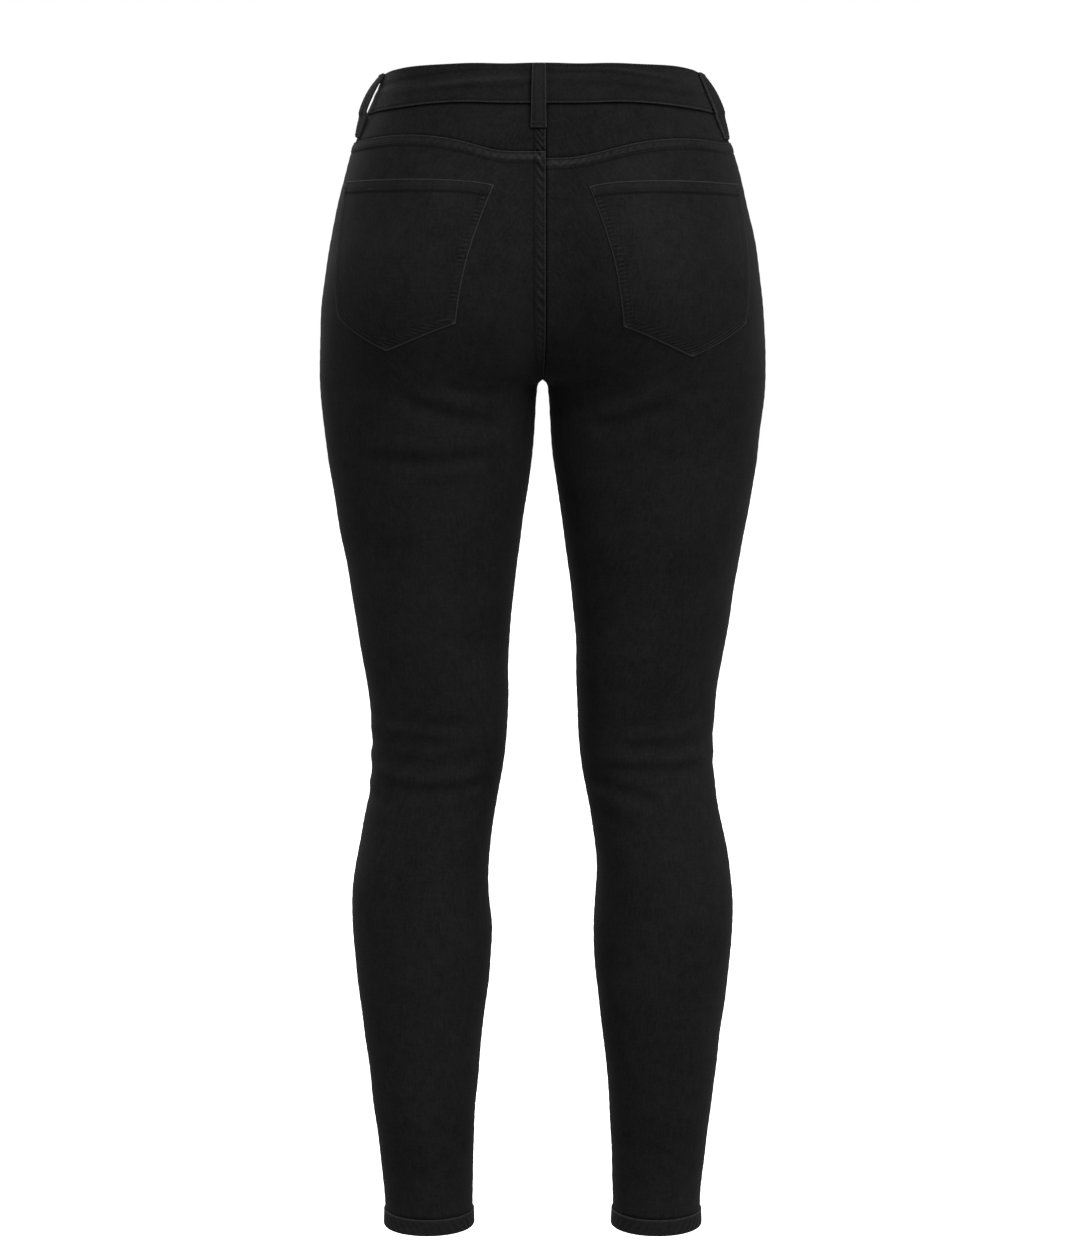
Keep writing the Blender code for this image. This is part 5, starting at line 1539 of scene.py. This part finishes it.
print(turned_button().name, "radius:", BUTTON_PROFILE[:, 0].max() * 1000, "mm")

# %% [markdown]
# ## The twill weave as a node group
# Denim is a twill: each weft thread passes over two or three warp threads and steps
# aside by one, so fine ribs climb at a slant. The group reads the UV map, which is in
# metres of cloth, and puts out the ribs' height and the threads' uneven thickness
# (slubs). Shaders stay outside.

# %% Helpers for node trees
def add(tree, kind, label, **settings):
    """A node with its settings."""
    node = tree.nodes.new(kind)
    node.label = label
    for key, value in settings.items():
        setattr(node, key, value)
    return node


def link(tree, out, into):
    tree.links.new(out, into)


def math_node(tree, operation, a, b=None, c=None):
    """A Math node. Each of a, b and c is a socket or a number."""
    node = tree.nodes.new("ShaderNodeMath")
    node.operation = operation
    for place, value in enumerate((a, b, c)):
        if value is None:
            continue
        if isinstance(value, (int, float)):
            node.inputs[place].default_value = value
        else:
            tree.links.new(value, node.inputs[place])
    return node.outputs[0]


def new_group(name, inputs, outputs):
    """An empty shader node group with its sockets."""
    group = bpy.data.node_groups.new(name, "ShaderNodeTree")
    for label, kind, value in inputs:
        socket = group.interface.new_socket(label, in_out="INPUT", socket_type=kind)
        if value is not None:
            socket.default_value = value
    for label, kind in outputs:
        group.interface.new_socket(label, in_out="OUTPUT", socket_type=kind)
    return group, group.nodes.new("NodeGroupInput"), group.nodes.new("NodeGroupOutput")


# %% Twill weave group
def twill_weave():
    """Ribs: the sine of (u * cos + v * sin) / rib width, bent a little by noise. Threads: a
    finer sine along v that chops each rib. Slubs: noise drawn out along both threads."""
    group, given, out = new_group("twill weave", (
        ("Cloth", "NodeSocketVector", None), ("Rib width", "NodeSocketFloat", 0.00062),
        ("Slant", "NodeSocketFloat", 1.12),
    ), (("Height", "NodeSocketFloat"), ("Slubs", "NodeSocketFloat")))
    split = group.nodes.new("ShaderNodeSeparateXYZ")
    link(group, given.outputs["Cloth"], split.inputs[0])
    u, v = split.outputs[0], split.outputs[1]
    wobble = add(group, "ShaderNodeTexNoise", "wobble")
    wobble.inputs["Scale"].default_value = 260
    wobble.inputs["Detail"].default_value = 2
    link(group, given.outputs["Cloth"], wobble.inputs["Vector"])
    along = math_node(group, "MULTIPLY", u, math_node(group, "COSINE", given.outputs["Slant"]))
    climb = math_node(group, "MULTIPLY", v, math_node(group, "SINE", given.outputs["Slant"]))
    ribs = math_node(group, "DIVIDE", math_node(group, "ADD", along, climb), given.outputs["Rib width"])
    ribs = math_node(group, "MULTIPLY_ADD", wobble.outputs[0], 0.9, ribs)
    ribs = math_node(group, "SINE", math_node(group, "MULTIPLY", ribs, FULL_TURN))
    threads = math_node(group, "DIVIDE", v, given.outputs["Rib width"])
    threads = math_node(group, "SINE", math_node(group, "MULTIPLY", threads, FULL_TURN * 1.6))
    height = math_node(group, "MULTIPLY_ADD", ribs, 0.34, math_node(group, "MULTIPLY_ADD", threads, 0.12, 0.5))
    slubs = []
    for squeeze in ((1150.0, 70.0, 1.0), (80.0, 900.0, 1.0)):
        stretch = add(group, "ShaderNodeMapping", "draw out along one thread")
        stretch.inputs["Scale"].default_value = squeeze
        noise = add(group, "ShaderNodeTexNoise", "uneven threads")
        noise.inputs["Scale"].default_value = 1.0
        noise.inputs["Detail"].default_value = 3
        link(group, given.outputs["Cloth"], stretch.inputs["Vector"])
        link(group, stretch.outputs[0], noise.inputs["Vector"])
        slubs.append(noise.outputs[0])
    slub = math_node(group, "MULTIPLY_ADD", slubs[0], 0.70, math_node(group, "MULTIPLY", slubs[1], 0.30))
    link(group, height, out.inputs["Height"])
    link(group, slub, out.inputs["Slubs"])
    return group


TWILL = twill_weave()
print(TWILL.name, "sockets:", len(TWILL.interface.items_tree))

# %% [markdown]
# ## Washing, rubbing and painted light as a node group
# Black denim fades first where it is rubbed: on folded edges, on the crests of puckers
# and along seams. The mesh carries that as an attribute, which also holds painted
# highlight on the sides of seam puckers that face the light (above 0) and painted shade in
# dents, grooves, hollows and seam crevices (below 0). The group breaks the fading up with
# noise, passes the painted shade on, and adds the soft clouds that a wash leaves in the dye.

# %% Wash, rubbing and painted light group
def wash_wear_and_painted_light():
    """First output: the attribute above 0 (rubbed fading, and painted highlight on lit pucker
    sides) times uneven noise, clipped to 0..1. Second output: painted shade, the attribute
    below 0, turned round and clipped to 0..1. Clouds: three sizes of slow noise."""
    group, given, out = new_group("wash and wear", (
        ("Place", "NodeSocketVector", None), ("Wear and painted light", "NodeSocketFloat", 0.0),
        ("Rubbing", "NodeSocketFloat", 1.0),
    ), (("Fade", "NodeSocketFloat"), ("Painted shade", "NodeSocketFloat"), ("Clouds", "NodeSocketFloat")))
    picked = []
    for scale, detail in ((900.0, 3), (14.0, 3), (95.0, 4), (420.0, 3), (340.0, 1)):
        noise = add(group, "ShaderNodeTexNoise", "unevenness")
        noise.inputs["Scale"].default_value = scale
        noise.inputs["Detail"].default_value = detail
        link(group, given.outputs["Place"], noise.inputs["Vector"])
        picked.append(noise.outputs[0])
    broken = math_node(group, "MULTIPLY_ADD", picked[0], 0.9, -0.15)
    broken = math_node(group, "MULTIPLY_ADD", picked[4], 1.3, broken)
    fade_and_painted_highlight = math_node(group, "MULTIPLY", given.outputs["Wear and painted light"], broken)
    fade_and_painted_highlight = math_node(group, "MULTIPLY", fade_and_painted_highlight, given.outputs["Rubbing"])
    fade_and_painted_highlight = math_node(group, "MINIMUM", math_node(group, "MAXIMUM", fade_and_painted_highlight, 0.0), 1.0)
    # Painted shade: the attribute below 0, turned round.
    painted_shade = math_node(group, "MULTIPLY", given.outputs["Wear and painted light"], -1.0)
    painted_shade = math_node(group, "MINIMUM", math_node(group, "MAXIMUM", painted_shade, 0.0), 1.0)
    clouds = math_node(group, "MULTIPLY_ADD", picked[2], 0.24, math_node(group, "MULTIPLY", picked[3], 0.40))
    clouds = math_node(group, "MULTIPLY_ADD", picked[1], 0.36, clouds)
    link(group, painted_shade, out.inputs["Painted shade"])
    link(group, fade_and_painted_highlight, out.inputs["Fade"])
    link(group, clouds, out.inputs["Clouds"])
    return group


WASH_WEAR_AND_PAINTED_LIGHT = wash_wear_and_painted_light()
print(WASH_WEAR_AND_PAINTED_LIGHT.name, "sockets:", len(WASH_WEAR_AND_PAINTED_LIGHT.interface.items_tree))

# %% [markdown]
# ## Black denim
# The cloth is almost black, so its look comes from how its surface scatters light:
# rough, with a faint sheen of raised fibres near the outline. Colour, roughness and
# bump all vary through the two groups.

# %% Black denim material
def place_group(tree, group, label):
    node = tree.nodes.new("ShaderNodeGroup")
    node.node_tree = group
    node.label = label
    return node


def blend_colours(tree, share, first, second):
    """A Mix node for colours."""
    node = tree.nodes.new("ShaderNodeMix")
    node.data_type = "RGBA"
    for socket, value in ((node.inputs[0], share), (node.inputs[6], first), (node.inputs[7], second)):
        if isinstance(value, tuple):
            socket.default_value = (*value, 1.0)
        else:
            tree.links.new(value, socket)
    return node.outputs[2]


def fresh_tree(name):
    """The material's empty node tree with its Principled BSDF."""
    material = bpy.data.materials.get(name) or bpy.data.materials.new(name)
    material.use_nodes = True
    tree = material.node_tree
    tree.nodes.clear()
    shader, output = tree.nodes.new("ShaderNodeBsdfPrincipled"), tree.nodes.new("ShaderNodeOutputMaterial")
    tree.links.new(shader.outputs[0], output.inputs["Surface"])
    return material, tree, shader


# Dye tones, the near-black of painted shade, and the grey of rubbed fading and painted highlight.
PAINTED_SHADE_BLACK, DYE_DARK = (0.0006, 0.0006, 0.0006), (0.0053, 0.0053, 0.0053)
DYE_LIGHT, FADED_AND_HIGHLIGHT_GREY = (0.0175, 0.0175, 0.0175), (0.053, 0.053, 0.053)


def black_denim():
    """Twill height to bump, slubs and clouds to colour and roughness, rubbed fading and painted
    highlight to colour, and painted shade to colour and to a lower specular level.
    """
    material, tree, shader = fresh_tree("black denim")
    coordinates = tree.nodes.new("ShaderNodeTexCoord")
    worn_and_painted_light = add(tree, "ShaderNodeAttribute", "wear_and_painted_light", attribute_name="wear_and_painted_light")
    weave, wash = place_group(tree, TWILL, "weave"), place_group(tree, WASH_WEAR_AND_PAINTED_LIGHT, "wash")
    link(tree, coordinates.outputs["UV"], weave.inputs["Cloth"])
    link(tree, coordinates.outputs["Object"], wash.inputs["Place"])
    link(tree, worn_and_painted_light.outputs["Fac"], wash.inputs["Wear and painted light"])
    tone = math_node(tree, "MULTIPLY_ADD", weave.outputs["Slubs"], 1.4, -0.70)
    tone = math_node(tree, "MULTIPLY_ADD", wash.outputs["Clouds"], 2.0, math_node(tree, "ADD", tone, -0.75))
    tone = math_node(tree, "MULTIPLY_ADD", weave.outputs["Height"], 0.40, tone)
    ground = blend_colours(tree, tone, DYE_DARK, DYE_LIGHT)
    # Painted shade: towards near-black where the attribute is below 0.
    ground = blend_colours(tree, math_node(tree, "MULTIPLY", wash.outputs["Painted shade"], 0.92), ground, PAINTED_SHADE_BLACK)
    # Rubbed fading and painted highlight: towards grey where the attribute is above 0.
    colour = blend_colours(tree, math_node(tree, "MULTIPLY", wash.outputs["Fade"], 0.62), ground, FADED_AND_HIGHLIGHT_GREY)
    link(tree, colour, shader.inputs["Base Color"])
    rough = math_node(tree, "MULTIPLY_ADD", weave.outputs["Slubs"], 0.16, 0.76)
    link(tree, rough, shader.inputs["Roughness"])
    relief = math_node(tree, "MULTIPLY_ADD", weave.outputs["Slubs"], 0.8, weave.outputs["Height"])
    bump = tree.nodes.new("ShaderNodeBump")
    bump.inputs["Strength"].default_value = 0.55
    bump.inputs["Distance"].default_value = 0.00012
    link(tree, relief, bump.inputs["Height"])
    link(tree, bump.outputs[0], shader.inputs["Normal"])
    # Painted shade also lowers the specular level, so the shaded dents reflect less light.
    specular_dimmed_by_painted_shade = math_node(tree, "MULTIPLY_ADD", wash.outputs["Painted shade"], -0.055, 0.06)
    link(tree, specular_dimmed_by_painted_shade, shader.inputs["Specular IOR Level"])
    shader.inputs["Sheen Weight"].default_value = 0.030
    shader.inputs["Sheen Roughness"].default_value = 0.40
    shader.inputs["Sheen Tint"].default_value = (1.0, 1.0, 1.0, 1.0)
    return material


print(black_denim().name)

# %% [markdown]
# ## Thread and dark metal
# The topstitching is black like the cloth, but polyester thread keeps a little
# shine, so it shows as a finer, lighter line. Its twist is a sine across the UV map.
# The button is plated metal, brushed by use, with faint cloudy tarnish.

# %% Thread and metal materials
def black_thread():
    """Twist: the sine of the distance along and around the thread."""
    material, tree, shader = fresh_tree("black thread")
    coordinates = tree.nodes.new("ShaderNodeTexCoord")
    wash = place_group(tree, WASH_WEAR_AND_PAINTED_LIGHT, "dye")
    link(tree, coordinates.outputs["Object"], wash.inputs["Place"])
    split = tree.nodes.new("ShaderNodeSeparateXYZ")
    link(tree, coordinates.outputs["UV"], split.inputs[0])
    run = math_node(tree, "MULTIPLY_ADD", split.outputs[1], 0.7, split.outputs[0])
    twist = math_node(tree, "SINE", math_node(tree, "MULTIPLY", run, FULL_TURN / 0.00055))
    share = math_node(tree, "MULTIPLY_ADD", twist, 0.18, wash.outputs["Clouds"])
    colour = blend_colours(tree, share, (0.006, 0.006, 0.006), (0.023, 0.0228, 0.0225))
    link(tree, colour, shader.inputs["Base Color"])
    link(tree, math_node(tree, "MULTIPLY_ADD", twist, 0.06, 0.58), shader.inputs["Roughness"])
    bump = tree.nodes.new("ShaderNodeBump")
    bump.inputs["Strength"].default_value = 0.6
    bump.inputs["Distance"].default_value = 0.00008
    link(tree, twist, bump.inputs["Height"])
    link(tree, bump.outputs[0], shader.inputs["Normal"])
    shader.inputs["Specular IOR Level"].default_value = 0.13
    shader.inputs["Sheen Weight"].default_value = 0.04
    return material


def dark_metal():
    """Plated metal: noise for tarnish in colour and roughness, and fine scratches in the bump."""
    material, tree, shader = fresh_tree("dark metal")
    coordinates = tree.nodes.new("ShaderNodeTexCoord")
    tarnish = add(tree, "ShaderNodeTexNoise", "tarnish")
    tarnish.inputs["Scale"].default_value = 420
    tarnish.inputs["Detail"].default_value = 4
    scratch = add(tree, "ShaderNodeTexNoise", "scratches")
    scratch.inputs["Scale"].default_value = 2600
    stretch = add(tree, "ShaderNodeMapping", "draw out the scratches")
    stretch.inputs["Scale"].default_value = (1.0, 1.0, 0.12)
    link(tree, coordinates.outputs["Object"], tarnish.inputs["Vector"])
    link(tree, coordinates.outputs["Object"], stretch.inputs["Vector"])
    link(tree, stretch.outputs[0], scratch.inputs["Vector"])
    colour = blend_colours(tree, tarnish.outputs[0], (0.040, 0.040, 0.042), (0.105, 0.104, 0.102))
    link(tree, colour, shader.inputs["Base Color"])
    link(tree, math_node(tree, "MULTIPLY_ADD", tarnish.outputs[0], 0.30, 0.22), shader.inputs["Roughness"])
    bump = tree.nodes.new("ShaderNodeBump")
    bump.inputs["Strength"].default_value = 0.25
    bump.inputs["Distance"].default_value = 0.00003
    link(tree, scratch.outputs[0], bump.inputs["Height"])
    link(tree, bump.outputs[0], shader.inputs["Normal"])
    shader.inputs["Metallic"].default_value = 0.9
    return material


print(black_thread().name, dark_metal().name)

# %% [markdown]
# ## What each piece was cut from
# Every cloth piece is listed with the size it was cut to, and printed with its cut and
# area. The sizes are lengths along the skin, taken at the seams. The area is given too,
# because no piece is a plain rectangle.

def wall_area(piece):
    """Half the area of the wall's two faces and rim."""
    mesh = piece.data
    area = np.empty(len(mesh.polygons))
    mesh.polygons.foreach_get("area", area)
    return float(area.sum()) / 2


CUTS = {  # node: (width, length), what it is sewn to
    "back_panel": ((0.222, 0.960), "waistband"), "front_panel": ((0.202, 0.985), "waistband"),
    "yoke": ((0.166, 0.046), "waistband"), "back_pocket": ((0.142, 0.160), "back_panel"),
    "pocket_facing": ((0.096, 0.108), "waistband"), "hem": ((0.262, 0.020), "back_panel"),
    "waistband": ((0.040, 0.860), None), "fly_shield": ((0.090, 0.125), "waistband"),
    "belt_loop_back": ((0.0160, 0.056), "waistband"), "belt_loop": ((0.0155, 0.063), "waistband"),
}
for node, piece in WALLS.items():
    kind = next(name for name in CUTS if node.startswith(name))
    (width, length), rests = CUTS[kind]
    label = node.rsplit("_", 1)[-1]
    area = min(wall_area(piece), width * length)
    print(node, "cut", (width, length), "area", round(area, 4))

# %% [markdown]
# ## Studio
# The garment is worn, so it hangs clear of the floor. A wide pale floor and a white
# world make a soft, shadowless studio, and two large soft lamps from above bring out
# the upper edges of the seams. The camera stands where the photograph was taken from:
# 3.3 metres behind the jeans, at waist height, looking a little down.

# %% Floor, light and camera
FLOOR_HEIGHT = -1.30


def floor():
    """A disc 24 m across, in rings and segments, under the garment."""
    turn = np.linspace(0, FULL_TURN, 65)[:-1]
    radius = np.array([0.5, 2.0, 6.0, 12.0])
    x, y = radius[:, None] * np.cos(turn), radius[:, None] * np.sin(turn)
    points = np.stack([x, y, FLOOR_HEIGHT + 0 * x], axis=-1)
    number = np.arange(points[..., 0].size).reshape(len(radius), -1)
    after = np.roll(number, -1, axis=1)
    cells = quads(number[:-1], number[1:], after[1:], after[:-1])
    mesh = bpy.data.meshes.new("studio_floor")
    faces = [tuple(int(i) for i in cell) for cell in cells] + [tuple(int(i) for i in number[0])]
    mesh.from_pydata(points.reshape(-1, 3), [], faces)
    material, tree, shader = fresh_tree("pale floor")
    coordinates = tree.nodes.new("ShaderNodeTexCoord")
    noise = add(tree, "ShaderNodeTexNoise", "faint unevenness")
    noise.inputs["Scale"].default_value = 3.0
    link(tree, coordinates.outputs["Object"], noise.inputs["Vector"])
    colour = blend_colours(tree, noise.outputs[0], (0.90, 0.90, 0.90), (0.93, 0.93, 0.93))
    link(tree, colour, shader.inputs["Base Color"])
    shader.inputs["Roughness"].default_value = 0.9
    shader.inputs["Emission Color"].default_value = (1.0, 1.0, 1.0, 1.0)
    shader.inputs["Emission Strength"].default_value = 0.95
    mesh.materials.append(material)
    made = bpy.data.objects.new("studio_floor", mesh)
    bpy.context.scene.collection.objects.link(made)
    return made


def white_studio():
    """White where it is seen. As a light it is brightest overhead and dim below, as in a
    white room whose floor is far away."""
    world = bpy.data.worlds.new("white studio")
    world.use_nodes = True
    tree = world.node_tree
    background = tree.nodes["Background"]
    background.inputs["Color"].default_value = (1.0, 1.0, 1.0, 1.0)
    coordinates, split = tree.nodes.new("ShaderNodeTexCoord"), tree.nodes.new("ShaderNodeSeparateXYZ")
    link(tree, coordinates.outputs["Generated"], split.inputs[0])
    overhead = tree.nodes.new("ShaderNodeMapRange")
    overhead.interpolation_type = "SMOOTHSTEP"
    for socket, value in zip(("From Min", "From Max", "To Min", "To Max"), (-0.6, 0.9, 0.38, 0.72)):
        overhead.inputs[socket].default_value = value
    link(tree, split.outputs[2], overhead.inputs["Value"])
    path, seen = tree.nodes.new("ShaderNodeLightPath"), tree.nodes.new("ShaderNodeMix")
    link(tree, path.outputs["Is Camera Ray"], seen.inputs[0])
    link(tree, overhead.outputs[0], seen.inputs[2])
    seen.inputs[3].default_value = 1.0
    link(tree, seen.outputs[0], background.inputs["Strength"])
    bpy.context.scene.world = world


stage_floor = floor()
stage_floor.visible_diffuse = stage_floor.visible_glossy = False
stage_floor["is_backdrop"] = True
white_studio()


def lamp(name, place, size, watts):
    """A square area lamp that faces the middle of the garment."""
    data = bpy.data.lights.new(name, "AREA")
    data.size, data.energy = size, watts
    made = bpy.data.objects.new(name, data)
    bpy.context.scene.collection.objects.link(made)
    x, y, z = (a - b for a, b in zip(place, (0.0, 0.0, -0.45)))
    made.location = place
    made.rotation_euler = (math.atan2(math.hypot(x, y), z), 0.0, math.atan2(x, -y))
    return made


lamp("high_lamp_behind", (-1.5, 2.7, 2.1), 1.5, 84)
lamp("high_lamp_front", (1.3, -2.7, 2.1), 1.6, 76)

FOCAL, LOOKS_DOWN = 3846.0, 478.0
camera = bpy.data.objects.new("camera", bpy.data.cameras.new("camera"))
bpy.context.scene.collection.objects.link(camera)
camera.location = (0.0009, 3.300, -0.044)
camera.rotation_euler = (math.pi / 2 - math.atan(LOOKS_DOWN / FOCAL), 0.0, math.pi)
camera.data.sensor_fit = "VERTICAL"
camera.data.sensor_height = 36.0
camera.data.lens = FOCAL * 36.0 / 1256.0
camera.data.clip_start, camera.data.clip_end = 0.05, 60.0
bpy.context.scene.camera = camera
bpy.context.scene.view_settings.view_transform = "Standard"
print("camera at", tuple(round(c, 3) for c in camera.location), "lens", round(camera.data.lens, 1), "mm")

# %% [markdown]
# ## Measuring the result
# The finer shells must stay on the CAD's shape. Both boxes are measured, and the printed
# difference in their sizes shows how much the folds, seams and loops have added.

# %% Sizes
VISUAL_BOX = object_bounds()
(cad_low, cad_high), (low, high) = CAD_BOX, VISUAL_BOX
print("grown by (mm):", [round(((high[k] - low[k]) - (cad_high[k] - cad_low[k])) * 1000, 1) for k in range(3)])
